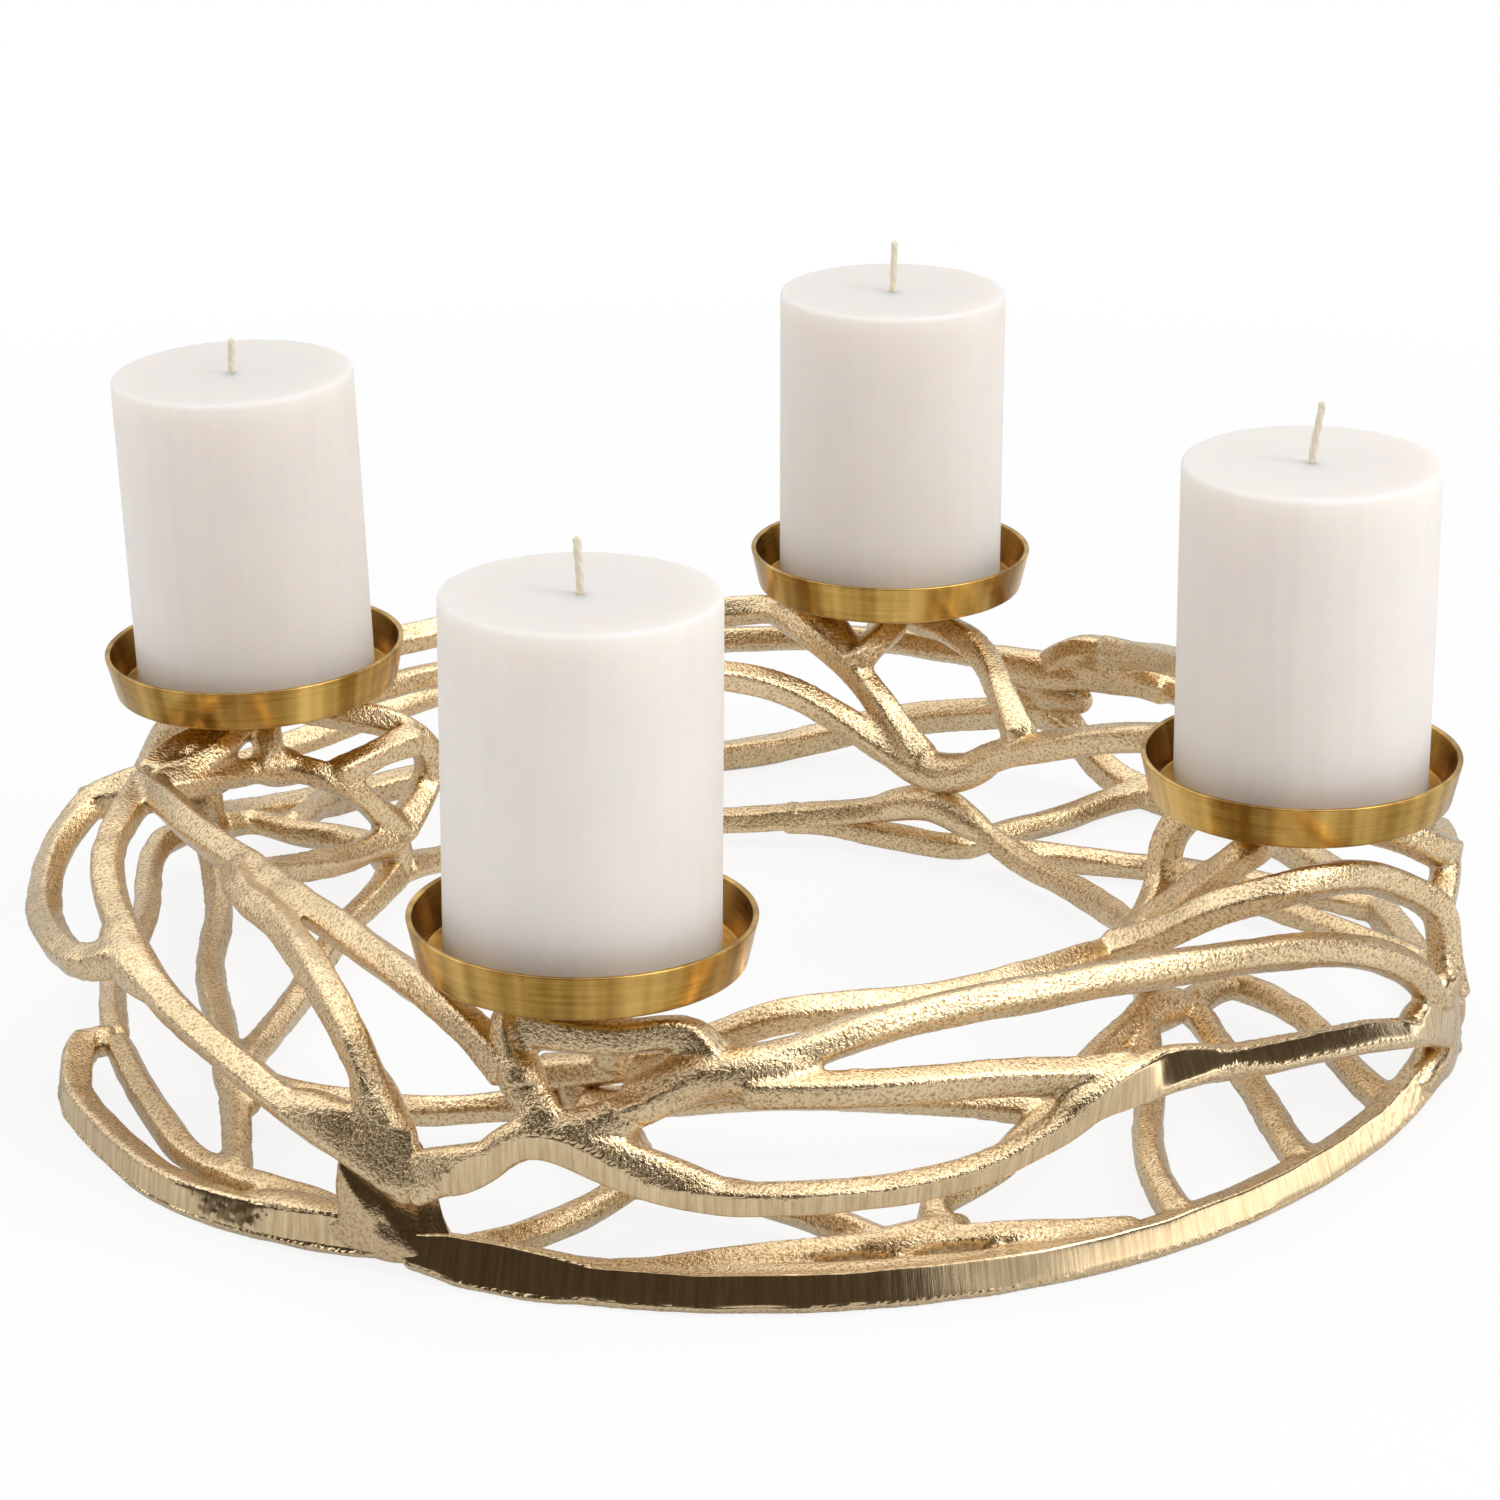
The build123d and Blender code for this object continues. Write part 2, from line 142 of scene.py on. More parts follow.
def bumped(wire, height, distance, strength):
    """A normal tilted by the slope of a height from 0 to 1, which stands for so many metres."""
    return wire.add("ShaderNodeBump", {}, {"Strength": strength, "Distance": distance, "Height": height})


def tint(wire, factor, low, high):
    """A colour between low and high, as the factor goes from 0 to 1."""
    return wire.add("ShaderNodeMix", {"data_type": "RGBA"}, {0: factor, 6: (*low, 1), 7: (*high, 1)}, out=2)


def narrow(wire, value, low, high):
    """Stretches low to high over 0 to 1 and clips what lies outside."""
    return wire.add("ShaderNodeMapRange", {"clamp": True}, {0: value, 1: low, 2: high, 3: 0.0, 4: 1.0})


def join(wire, shader, links):
    """Feeds each named socket of the shader from a Wire."""
    for key, value in links.items():
        wire.tree.links.new(value.socket, shader.inputs[key])


print("shader arithmetic ready")

# %% [markdown]
# ## Cast gold
# The lattice is sand-cast and plated a pale champagne gold. Up close it is all grain: each facet about a millimetre
# across catches the light by itself. The outside edges were dressed on a belt grinder, which left flat faces with fine
# upright scratches. A mesh attribute says where those are, so one finish can have both skins.


# %% Cast gold finish
GRAIN_CELLS, CLOUD_CELLS, SCRATCH_CELLS = 1080.0, 28.0, 760.0
BELT_RADIUS, SCRATCH_STRETCH, SCRATCH_DEPTH = 0.195, 0.06, 0.12
POLISH = 0.14


def cast_gold(name, light, dark, grain_height):
    """Grain where the attribute 'ground' is 0, upright scratches where it is 1, and slow changes of colour. The grain's
    hollows are painted darker, as shade. Scratches are noise over the length round the ring and a small part of the
    height."""
    finish, shader, wire = new_finish(name)
    place = object_place(wire)
    ground = wire.add("ShaderNodeAttribute", {"attribute_name": "ground"}, out=2)
    cast = 1 - ground
    grain = noise(wire, place, GRAIN_CELLS)
    cloud = noise(wire, place, CLOUD_CELLS)
    round_way = wire.maths("ARCTAN2", axis(wire, place, 1), axis(wire, place, 0)) * BELT_RADIUS
    belt = wire.add("ShaderNodeCombineXYZ", {}, {0: round_way, 1: axis(wire, place, 2) * SCRATCH_STRETCH})
    scratch = noise(wire, belt, SCRATCH_CELLS, 4.0, 0.7)
    # Painted shade: the hollows of the grain take the dark colour, mixed with slow random tone from the cloud
    pit_shade_and_cloud = narrow(wire, grain, 0.32, 0.52) * 0.75 + narrow(wire, cloud, 0.3, 0.7) * 0.25
    worn = 0.45 + narrow(wire, scratch, 0.35, 0.65) * 0.5
    join(wire, shader, {
        "Base Color": tint(wire, pit_shade_and_cloud * cast + worn * ground, dark, light),
        "Roughness": POLISH + scratch * ground * 0.08 + (1 - pit_shade_and_cloud) * cast * 0.1,
        "Normal": bumped(wire, grain * cast + scratch * ground * SCRATCH_DEPTH, grain_height, 1.0),
    })
    shader.inputs["Metallic"].default_value = 1.0
    return finish


# The dark colour is painted shade in the grain's hollows, and the low end of the scratches' tone on ground faces
gold = cast_gold("cast_gold", (0.95, 0.75, 0.475), (0.38, 0.24, 0.095), 0.00038)
# The welds get a darker copy of the cast gold: painted shade for their dark smear
shaded_weld_gold = cast_gold("shaded_weld_gold", (0.84, 0.65, 0.41), (0.33, 0.21, 0.085), 0.00024)
print("finishes:", gold.name, shaded_weld_gold.name)

# %% [markdown]
# ## Routes of the bars
# The lattice was drawn bar by bar in the CAD part. Each route lists azimuth in degrees, millimetres outside the
# circle that the dishes stand on, and height above the table. The same routes are repeated here, apart from the
# right ends of two front bars, which bend up to 5 mm further so that they meet as in the photograph.

# %% Routes, as in the CAD part
STATION_RADIUS = 156.4
CORE_HEIGHT = 34.0
ROUTES = {
    "upper_lattice_front": [
        [(244, 38, 23), (251, 38, 36), (255, 38, 43), (259, 38, 38), (264, 38, 32), (271, 38, 30), (280, 38, 31),
         (288, 38, 35), (294, 38, 43), (299, 38, 50), (304, 38, 50), (313, 39, 45), (324, 40, 37), (333, 42, 27),
         (341, 44, 17)],
        [(267, 25, 60), (272, 24, 61), (277, 20, 64), (283, 15, 66), (290, 13, 67), (299, 13, 67), (308, 16, 66),
         (317, 21, 63), (325, 27, 58), (332.5, 36.5, 48), (336.5, 42, 37), (338.5, 44, 27), (340, 44, 17)],
        [(269, 29, 55), (281, 30, 55), (289, 30, 54), (296, 33, 52), (300, 37, 51)],
        [(328, -41, 38), (328, -28, 45), (328, -12, 56), (331, 6, 64), (337, 20, 64), (343, 31, 55), (345, 40, 46),
         (345, 42, 35), (343, 45, 22)],
        [(240, -42, 19), (250, -42, 25), (261, -42, 32), (271, -42, 41), (285, -42, 44), (298, -42, 43),
         (313, -42, 42), (328, -41, 38), (346, -42, 30)],
        [(253.5, 8, 69), (251, 25, 67), (252, 29, 58), (254, 34, 50), (255, 38, 45)],
        [(251.5, 24, 66.5), (256, 25, 66), (261, 24.5, 66.5), (265, 22, 66), (267.5, 25, 60)],
        [(254.5, -8, 69), (254, -26, 60), (253, -36, 44), (252, -41.5, 27)],
        [(268, 26, 59), (263, 31, 53), (259, 34, 47), (256, 37, 44)],
    ],
    "upper_lattice_left": [
        [(243.5, 38, 25), (237, 38, 33), (228, 36, 41), (222, 35, 45), (214, 33, 49), (208, 31, 53), (201, 29, 56),
         (194, 26, 60), (188, 21, 63), (180, 16, 63)],
        [(177, 17, 61), (176, 33, 54), (180, 40, 48), (187, 43, 44), (193, 44, 43), (201, 44, 45), (206.5, 41, 47),
         (209.5, 34, 51)],
        [(180, 16, 63), (188, 8, 67), (197, 2, 68), (209, -4, 68), (218, -3, 69), (226, 0, 69), (234, 6, 68),
         (242, 15, 66), (248, 24, 62), (252, 29, 55)],
        [(208, -1, 68), (214, 5, 68), (221, 8, 68), (227, 14, 67), (234.5, 25, 62.5), (237.6, 29.8, 57),
         (240.3, 33.8, 47.5), (242.1, 36, 38), (243.4, 37.5, 28)],
        [(162, 0, 69), (168, 1, 68), (173, 11, 66), (178, 16, 62)],
        [(159.5, 8, 69), (160, 26, 60), (159, 38, 38)],
        [(157.5, -7, 69), (156, -23, 66), (153, -35, 63), (150, -43, 56), (147, -41, 43), (152, -42, 36),
         (158, -42, 31)],
        [(176, 33, 54), (168, 38, 45), (160, 39, 36), (151, 40, 27)],
    ],
    "upper_lattice_left slim": [
        [(180, 15, 62), (176.5, 2.5, 61.5), (171, -5, 58.5), (167, -11.5, 57), (166, -28, 55), (163, -38, 46),
         (157, -42, 32)],
        [(162.3, -3, 69.5), (168, -4, 69), (174, 1, 65.5), (178, 11, 62)],
        [(161.5, -4, 70), (165, -9, 69.5), (166.7, -11.3, 65), (166.8, -11.5, 57)],
        [(165.8, -30, 54.5), (161, -39, 58.5), (152, -44, 59)],
        [(158, -42, 31), (171, -37, 34), (181, -30, 40), (193, -16, 50), (204, -4, 64)],
    ],
    "upper_lattice_back": [
        [(149, 40, 27), (140, 39, 28), (130, 38, 30), (118, 38, 34), (105, 38, 38), (93, 38, 41), (86, 38, 42),
         (78, 37, 43), (70, 37, 42), (64, 38, 40), (60, 38, 38.5)],
        [(154, 8, 69), (145, 8, 68), (132, 4, 67), (118, 0, 68), (105, -4, 67), (93, -7, 66), (87, -11, 68),
         (82, -25, 66), (75, -34, 58), (69, -39, 48), (61, -43, 33)],
        [(147, -41, 44), (135, -42, 52), (120, -42, 57), (105, -43, 58), (94, -43, 57), (85, -43, 53), (77, -43, 46),
         (69, -43, 37), (60, -43, 31)],
        [(73, -8, 69), (71, -20, 68), (73, -31, 63), (75, -35, 58)],
        [(73.5, 8, 69), (75, 26, 60), (77, 37, 45)],
        [(118, 0, 68), (116, 22, 62), (113, 38, 38)],
    ],
    "upper_lattice_back slim": [
        [(154, -18, 66), (140, -24, 66), (128, -30, 64), (115, -38, 61), (105, -42, 58)],
    ],
    "upper_lattice_right": [
        [(60, -43, 31), (55, -43, 33), (49, -43, 40), (41, -43, 47), (32, -40, 54), (23, -29, 60), (10, -14, 66),
         (349, -5, 69)],
        [(70.5, -7, 69), (64, -15, 68), (57, -23, 64), (50, -36, 59), (43, -42, 48)],
        [(60, 38, 38.5), (58.3, 37.5, 46), (55.5, 38.5, 50), (52, 40, 47.5), (47, 39, 43), (36, 38, 41), (14, 39, 42),
         (2, 40, 48), (352, 41, 54), (348, 41, 50), (345.5, 40, 46)],
        [(54, 38, 49.5), (47, 29, 55.5), (41, 20, 60.5), (30, 12, 66), (15, 6, 68), (349.5, 3, 69)],
        [(60, 38, 38.5), (55, 38, 40), (51, 38.5, 41.5), (46, 38.5, 43)],
        [(347, 8, 69), (346, 26, 67), (348, 36, 61), (352, 41, 54)],
        [(347.5, -8, 69), (353, -26, 64), (355, -36, 52), (354, -38, 40), (347, -41, 31)],
        [(344.5, -6, 69), (337, -9, 66), (340, -23, 52), (345, -39, 33)],
    ],
    "lower_lattice_front rim": [
        [(243.5, 38, 7), (248, 38, 5), (256, 38, 4.6), (270, 38, 4.6), (285, 38, 4.6), (300, 38, 4.6), (318, 38, 4.6),
         (331, 40, 5), (338, 42, 7), (343, 44, 9)],
    ],
    "lower_lattice_front slim": [
        [(259, 36, 5), (269, 27, 7), (278, 22, 7), (285, 22, 7), (293, 27, 7), (301, 36, 5)],
        [(281, 22, 7), (276, 7, 9), (269, -4, 10), (258.5, -10, 10)],
        [(286, 22, 7), (287, 7, 9), (292, -1, 10), (301, -16, 11), (308, -23, 13), (324, -35, 15), (335, -35, 17),
         (346, -41, 19)],
        [(248, 36, 6), (251, 24, 7), (254, 12, 8), (257, -2, 9), (258, -11, 10), (255, -31, 12), (247, -42, 14)],
        [(247, -42, 14), (258, -41, 18), (270, -40, 21), (285, -38, 20), (298, -33, 16), (306, -23, 13)],
        [(333, -35, 16), (323, -20, 9), (314, -4, 8), (308, 15, 7), (305, 36, 5)],
        [(336, -35, 17), (341, -26, 13), (336, -15, 10), (329, 3, 8), (323, 20, 7), (319, 37, 5)],
        [(341, -26, 13), (350, -16, 12), (346, 2, 10), (340, 16, 8), (335, 30, 6), (333, 40, 5)],
    ],
    "lower_lattice_left rim": [
        [(243.5, 38, 8), (237, 40, 6), (231, 43, 5), (225, 46, 4.6), (219, 47, 4.6), (211, 46, 5), (206, 46, 6),
         (201, 42, 8), (198, 36, 10), (198, 28, 10)],
    ],
    "lower_lattice_left slim": [
        [(198, 28, 10), (206, 29, 9), (214, 32, 8), (221, 35, 7), (228, 33, 7), (234, 31, 7), (241, 37, 8)],
        [(150, 40, 13), (154, 43, 13), (163, 34, 11), (172, 25, 10), (184, 26, 10), (198, 28, 10)],
        [(151, 36, 13), (157, 22, 11), (168, 5, 10), (180, 0, 10), (194, -2, 10), (204, 1, 10), (210, 5, 10)],
        [(158, -42, 20), (168, -42, 18), (177, -37, 16), (190, -29, 13), (200, -16, 11), (209, 3, 10)],
        [(209, 4, 10), (213, 9, 9), (222, 25, 8), (226, 36, 7)],
        [(210, 4, 10), (217, -3, 10), (223, -15, 9), (230, -23, 10), (236, -34, 11), (245, -41.5, 13)],
    ],
    "lower_lattice_back rim": [
        [(150, 40, 13), (143, 40, 9), (135, 39, 5), (120, 36, 4.6), (105, 28, 4.6), (93, 24, 5), (85, 34, 6),
         (79, 38, 11), (72, 38, 17), (65, 38, 22), (60, 38, 26)],
    ],
    "lower_lattice_back slim": [
        [(157, -42, 20), (146, -42, 15), (130, -42, 10), (112, -42, 8), (94, -42, 8), (82, -42, 10), (71, -42, 14),
         (60, -42, 20)],
        [(150, 36, 13), (146, 34, 11), (145, 20, 10), (143, -3, 10), (148, -25, 13), (156, -41, 19)],
        [(145, 20, 10), (138, 29, 9), (133, 38, 5)],
        [(112, -41, 8), (110, -20, 8), (103, 5, 7), (97, 24, 5)],
    ],
    "lower_lattice_right rim": [
        [(60, 38, 26), (56, 38, 17), (53, 38, 9), (49, 39, 4.6), (40, 40, 4.6), (30, 40, 4.6), (18, 40, 4.6),
         (8, 40, 4.6), (356, 42, 5), (349, 44, 7), (344, 44, 9)],
    ],
    "lower_lattice_right slim": [
        [(60, -42, 20), (52, -42, 15), (45, -42, 10), (34, -42, 8), (20, -42, 9), (5, -42, 13), (354, -42, 17),
         (347, -41, 19)],
        [(85, -42, 9.5), (78, -41, 8), (72, -40, 6), (66, -39, 5), (58, -38, 5), (54, -19, 5), (51, 4, 5),
         (50, 26, 5), (49, 38, 5)],
        [(46, -40, 9), (44, -30, 7), (39, -20, 6), (33, -8, 6), (25, 9, 6), (18, 27, 6), (15, 39, 5)],
        [(30, -3, 6), (16, 8, 7), (9, 21, 7), (4, 34, 6), (2, 40, 5)],
    ],
}
# Widths of plain, slim and rim bars, in millimetres
WIDTHS = {"": 9.4, "slim": 8.3, "rim": 10.4}
# Where the metal pooled at a junction: route and greatest width
POOLS = {
    "upper_lattice_front": [
        ([(249, 38, 34), (255, 37, 43), (261, 36, 37), (270, 37, 31)], 13.0),
        ([(260, 30, 53), (267.5, 26, 58), (276, 24, 60)], 14.0),
        ([(242, 37.5, 29), (247, 38, 30), (253, 38, 40)], 13.0),
        ([(333, 41, 28), (339.5, 43.5, 22), (343, 45, 9)], 14.0),
        ([(292, 37, 42), (299, 38, 50), (309, 38, 48)], 13.0),
        ([(251, 26, 64), (252, 29, 58), (254.5, 35, 48)], 12.0),
    ],
    "upper_lattice_left": [
        ([(232, 37, 38), (239, 37, 33.5), (244, 38, 28), (248, 38, 30)], 15.0),
        ([(238.6, 31, 53), (241.5, 35.5, 40), (243.4, 38, 28), (244, 38, 18)], 14.0),
        ([(203, 30, 55), (209, 33, 51), (217, 34, 48)], 13.0),
        ([(170, -9, 58.5), (166.8, -13, 57.5), (166.2, -24, 56)], 12.5),
    ],
    "upper_lattice_back": [
        ([(71, -43, 39), (65, -43, 33.5), (60, -43, 31), (55, -43, 32.5), (47, -43, 41)], 13.0),
        ([(88, -9, 67), (80, -23, 66), (74, -35, 58)], 15.0),
        ([(68, 37.5, 41.5), (61, 38, 38.5), (54, 38, 41)], 14.0),
    ],
    "upper_lattice_right": [
        ([(59, 38, 42), (53, 39, 44.5), (46, 39, 43)], 13.0),
        ([(338, -41, 34), (346, -41.5, 30.5), (354, -38.5, 38)], 12.5),
    ],
    "lower_lattice_front": [
        ([(328, -34, 15), (336, -33, 15.5), (343, -25, 13)], 12.5),
        ([(244, 38, 9), (250, 37.5, 6), (262, 37, 5)], 14.0),
        ([(242, 32, 8), (255, 32.5, 5.4), (272, 33, 5), (288, 33, 5), (303, 35, 5)], 9.0),
        ([(277, 22, 7.2), (284, 21, 7.2), (289, 15, 8)], 11.5),
    ],
    "lower_lattice_left": [
        ([(228, 41, 6), (236, 39, 7), (244, 38, 8)], 14.0),
        ([(203, 0, 10), (210, 5, 10), (217, 10, 9)], 12.0),
    ],
    "lower_lattice_back": [
        ([(72, -42, 14), (65, -42, 18), (60, -42, 20), (55, -42, 17.5), (47, -42, 11.5)], 12.0),
        ([(67, 38, 21), (60, 38, 26), (55, 38, 14)], 13.0),
    ],
}
print(sum(len(routes) for routes in ROUTES.values()), "bars in", len(ROUTES), "lists")

# %% [markdown]
# ## From a route to a bar
# A bar is a profile carried along a smooth line. A cubic spline goes through the route's points, and at each step the
# profile stands square to the line, with its back turned away from the ring's core. Bars swell towards their ends, as
# molten metal fills the corner of a mould.


# %% Splines and bars
LINE_STEP, POOL_STEP = 1.5, 1.2
BAR_SIDES, POOL_SIDES = 30, 18
SWELL, SWELL_LENGTH = 0.24, 10
CAP_LENGTH = 0.6
SIDE_ANGLES = [-42, 42, -112, 112, 180]
RIDGE_OUT, FLAT_OUT = 90, -90
SHARPNESS = 0.92


def ring_points(route):
    """Azimuth, distance outside the station circle and height, turned into x, y and z in metres."""
    azimuth, out, height = np.array(route, float).T
    azimuth = np.radians(azimuth)
    radius = STATION_RADIUS + out
    return np.stack([radius * np.cos(azimuth), radius * np.sin(azimuth), height], -1) * MM


def spline(points, step):
    """A natural cubic spline through the points: the second derivatives solve a three-band system, and then each span
    is read at even steps."""
    chord = np.linalg.norm(np.diff(points, axis=0), axis=1)
    knots = np.concatenate([[0], np.cumsum(chord)])
    count = len(points)
    band, right = np.eye(count), np.zeros((count, 3))
    inner = np.arange(1, count - 1)
    band[inner, inner - 1], band[inner, inner + 1] = chord[:-1], chord[1:]
    band[inner, inner] = 2 * (chord[:-1] + chord[1:])
    slope = np.diff(points, axis=0) / chord[:, None]
    right[1:-1] = 6 * np.diff(slope, axis=0)
    bend = np.linalg.solve(band, right)
    at = np.linspace(0, knots[-1], max(6, int(knots[-1] / step)))
    span = np.clip(np.searchsorted(knots, at, "right") - 1, 0, count - 2)
    h, a, b = chord[span, None], (knots[span + 1] - at)[:, None], (at - knots[span])[:, None]
    curve = bend[span] * a**3 / (6 * h) + bend[span + 1] * b**3 / (6 * h)
    curve += (points[span] / h - bend[span] * h / 6) * a + (points[span + 1] / h - bend[span + 1] * h / 6) * b
    return curve


def carried(line, across, radius):
    """A round profile carried along a line: rings of points, square to the line, back turned along 'across'."""
    along = np.gradient(line, axis=0)
    along /= np.linalg.norm(along, axis=1, keepdims=True)
    side = np.cross(along, across)
    side /= np.linalg.norm(side, axis=1, keepdims=True)
    back = np.cross(side, along)
    turn = np.linspace(0, 2 * np.pi, radius.shape[1], endpoint=False)
    ring = np.cos(turn)[None, :, None] * side[:, None] + np.sin(turn)[None, :, None] * back[:, None]
    return line[:, None] + radius[:, :, None] * ring


def from_core(line):
    """The direction away from the ring's core circle at each point, which is the outside of the dome."""
    out = np.linalg.norm(line[:, :2], axis=1)
    core = line[:, :2] / out[:, None] * STATION_RADIUS * MM
    return np.column_stack([line[:, :2] - core, line[:, 2] - CORE_HEIGHT * MM])


def ridged(turn, ridge):
    """Outline of a bar: five straight sides, each at one over the cosine of the angle from its middle, eased a little
    towards a circle. The ridge is turned to an angle, where 90 is away from the ring's core."""
    sides = np.radians(SIDE_ANGLES) + np.radians(ridge)
    outline = 1 / np.cos(turn[:, None] - sides[None]).max(1)
    return 1 + SHARPNESS * (outline / outline.mean() - 1)


def route_line(route):
    """The smooth line of a route, in even steps."""
    return spline(ring_points(route), LINE_STEP * MM)


def bar(route, width, swell=SWELL, blunt=False, ridge=RIDGE_OUT):
    """A bar along a route: half the width, plus a swell at both ends that fades as a bell curve does, closed by round
    caps. A blunt bar doesn't swell at its start."""
    line = route_line(route)
    length = np.concatenate([[0], np.cumsum(np.linalg.norm(np.diff(line, axis=0), axis=1))])
    half = width / 2 * MM
    from_end = np.minimum(np.where(blunt, 1.0, length), length[-1] - length)
    flare = 1 + swell * np.exp(-((from_end / (SWELL_LENGTH * MM)) ** 2))
    end = np.minimum(length, length[-1] - length)
    cap = np.sqrt(np.clip(1 - (1 - np.clip(end / (half * CAP_LENGTH), 0, 1)) ** 2, 0, 1))
    turn = np.linspace(0, 2 * np.pi, BAR_SIDES, endpoint=False)
    return carried(line, from_core(line), half * (flare * cap)[:, None] * ridged(turn, ridge)[None])


def pool(route, width):
    """Metal that pooled along a route: widest in the middle and thinned to nothing at both ends, as an ellipse is."""
    line = spline(ring_points(route), POOL_STEP * MM)
    along = np.linspace(-1, 1, len(line))
    half = width / 2 * MM * np.sqrt(1 - along**2)
    return carried(line, from_core(line), np.tile(half[:, None], (1, POOL_SIDES)))


def quads(rows, columns, start=0):
    """Faces of a grid of rings: each square joins two neighbours on a ring to the two on the next ring."""
    row, column = np.meshgrid(np.arange(rows - 1), np.arange(columns), indexing="ij")
    after = (column + 1) % columns
    here, beyond = row * columns, (row + 1) * columns
    corners = [here + column, here + after, beyond + after, beyond + column]
    return np.stack(corners, -1).reshape(-1, 4) + start


def mesh_of(name, points, faces):
    """A mesh from an array of points and an array of faces."""
    mesh = bpy.data.meshes.new(name)
    mesh.from_pydata(points.reshape(-1, 3).tolist(), [], faces.tolist())
    mesh.update()
    return mesh


print("a bar has", bar(ROUTES["upper_lattice_front"][0], 10.0).shape, "points")

# %% [markdown]
# ## Turned pieces
# A dish and a candle are both round about their own axis, which leans a little, as the CAD part says. A profile of
# radius and height, with its corners rounded, is carried once round that axis. So is the boss below each dish, which
# the legs run into and the pricket's shank goes through.


# %% Rounded profiles and turned skins
# Azimuth of each dish, and how far its axis leans outwards and sideways, in degrees
STATIONS = {
    "front": (254.5, -1.2, 0.1),
    "right": (346.5, -0.6, -0.6),
    "back": (73.4, -0.2, 0.0),
    "left": (159.2, 1.7, 1.4),
}
SEAT_HEIGHT = 75.8
BOSS_COLUMNS = 48
BOSS = [(0, -8.4), (8, -8.4), (10.6, -7.4), (11.8, -5), (12, -1.6), (11.4, -0.5), (9, -0.1), (0, -0.1)]


def station_axes(station):
    """The seat's middle, and outwards, sideways and up along the leaning axis of a station."""
    azimuth, lean_out, lean_side = (math.radians(value) for value in STATIONS[station])
    upright = math.cos(lean_out)
    up = np.array([math.sin(lean_out), math.sin(lean_side) * upright, math.cos(lean_side) * upright])
    outwards = np.array([math.cos(azimuth), math.sin(azimuth), 0])
    up = up @ np.array([outwards, [-math.sin(azimuth), math.cos(azimuth), 0], [0, 0, 1]])
    outwards -= up * (outwards @ up)
    outwards /= np.linalg.norm(outwards)
    seat = ring_points([(STATIONS[station][0], 0, SEAT_HEIGHT)])[0]
    return seat, outwards, np.cross(up, outwards), up


def rounded(corners, steps=5):
    """Corners of (radius, height, rounding): each is cut back along both sides and bridged by a quadratic curve."""
    corners = np.array(corners, float)
    place, cut = corners[:, :2], corners[:, 2:]
    before, after = np.roll(place, 1, 0) - place, np.roll(place, -1, 0) - place
    first = place + before / np.linalg.norm(before, axis=1, keepdims=True) * cut
    last = place + after / np.linalg.norm(after, axis=1, keepdims=True) * cut
    t = np.linspace(0, 1, steps)[None, :, None]
    curve = (1 - t) ** 2 * first[:, None] + 2 * t * (1 - t) * place[:, None] + t**2 * last[:, None]
    return curve.reshape(-1, 2)


def turned_points(profile, station, columns):
    """A closed profile of radius and height, carried round the station's axis: rings of points."""
    seat, outwards, sideways, up = station_axes(station)
    turn = np.linspace(0, 2 * np.pi, columns, endpoint=False)
    spoke = np.cos(turn)[:, None] * outwards + np.sin(turn)[:, None] * sideways
    return seat + (profile[:, 0][:, None, None] * spoke + profile[:, 1][:, None, None] * up) * MM


print("seat of the front dish:", np.round(station_axes("front")[0], 4))

# %% [markdown]
# ## Castings
# Where bars meet, the casting has no seam, so the bars of one casting are fused by a voxel remesh and then smoothed,
# which leaves a small fillet in every corner. Slow waves give the skin the unevenness of hand-made moulds. Last, the
# outside of the edge bars is dressed flat, and the touched points are marked for the finish.


# %% Fuse, dress and place the castings
EDGES = [("upper_lattice_front", 0), ("upper_lattice_back", 0), ("upper_lattice_right", 2)]
EDGES += [(f"lower_lattice_{side} rim", 0) for side in ("front", "left", "back", "right")]
EDGE_WIDTH = 8.8
# Ground faces: azimuth, millimetres outside the bar's middle and upward look in degrees
FACES = {
    "upper": [(0, 3.6, -12), (245, 9, -18), (249, 3.4, -18), (297, 3.4, -18), (302, 4.7, 26), (308, 4.6, 30),
              (314, 4.1, 34), (320, 3.8, 37), (331, 3.7, 41), (335, 4.0, 18), (337.5, 4.2, 0), (360, 3.6, -12)],
    "lower": [(0, 3.3, 3), (205, 3.3, 2), (223, 3.3, 6), (227, 3.3, 18.5), (231, 3.3, 18.5), (234, 3.3, 4),
              (240, 3.3, 4), (244, 3.3, 24), (286, 3.3, 24), (292, 3.3, 17), (300, 3.3, 18), (316, 3.3, 20.5),
              (324, 3.3, 22.5), (332, 3.3, 26), (338, 3.3, 24), (344, 3.3, 3), (360, 3.3, 3)],
}
# How far below the bar's middle a face reaches, and how fast it opens there
LIPS = {"upper": 9.0, "lower": 2.2}
OPENING = 3
FACE_REACH = 9
# Cast slopes above the faces round the front-left hub, in the same form
HUB = [("upper_lattice_left", 0), ("upper_lattice_front", 0)]
SLOPES = [(0, 30, 25), (230, 12, 25), (239, 5.0, 25), (247, 5.0, 26), (251, 5.2, 32), (268, 5.2, 32), (280, 12, 32),
          (360, 30, 25)]
HUB_REACH, HUB_SOFTNESS = 14, 1.5
# Bars that swell otherwise at their ends, that start bluntly, and that have a flat side outwards or towards the viewer
SWELLS = {
    ("lower_lattice_front rim", 0): 0.0,
    ("lower_lattice_left rim", 0): -0.2,
    ("lower_lattice_left slim", 0): -0.1,
    ("lower_lattice_left slim", 1): -0.15,
}
BLUNT = {("upper_lattice_front", 2), ("upper_lattice_left", 3)}
RIDGES = {("upper_lattice_front", 1): -122, **dict.fromkeys(EDGES, FLAT_OUT)}
CAST_VOXEL, CAST_ROUNDS = 0.95, 2
CAST_WAVES, CAST_WAVE_HEIGHT = (0.06, 0.01), 0.14
WAVE_SEED = 12


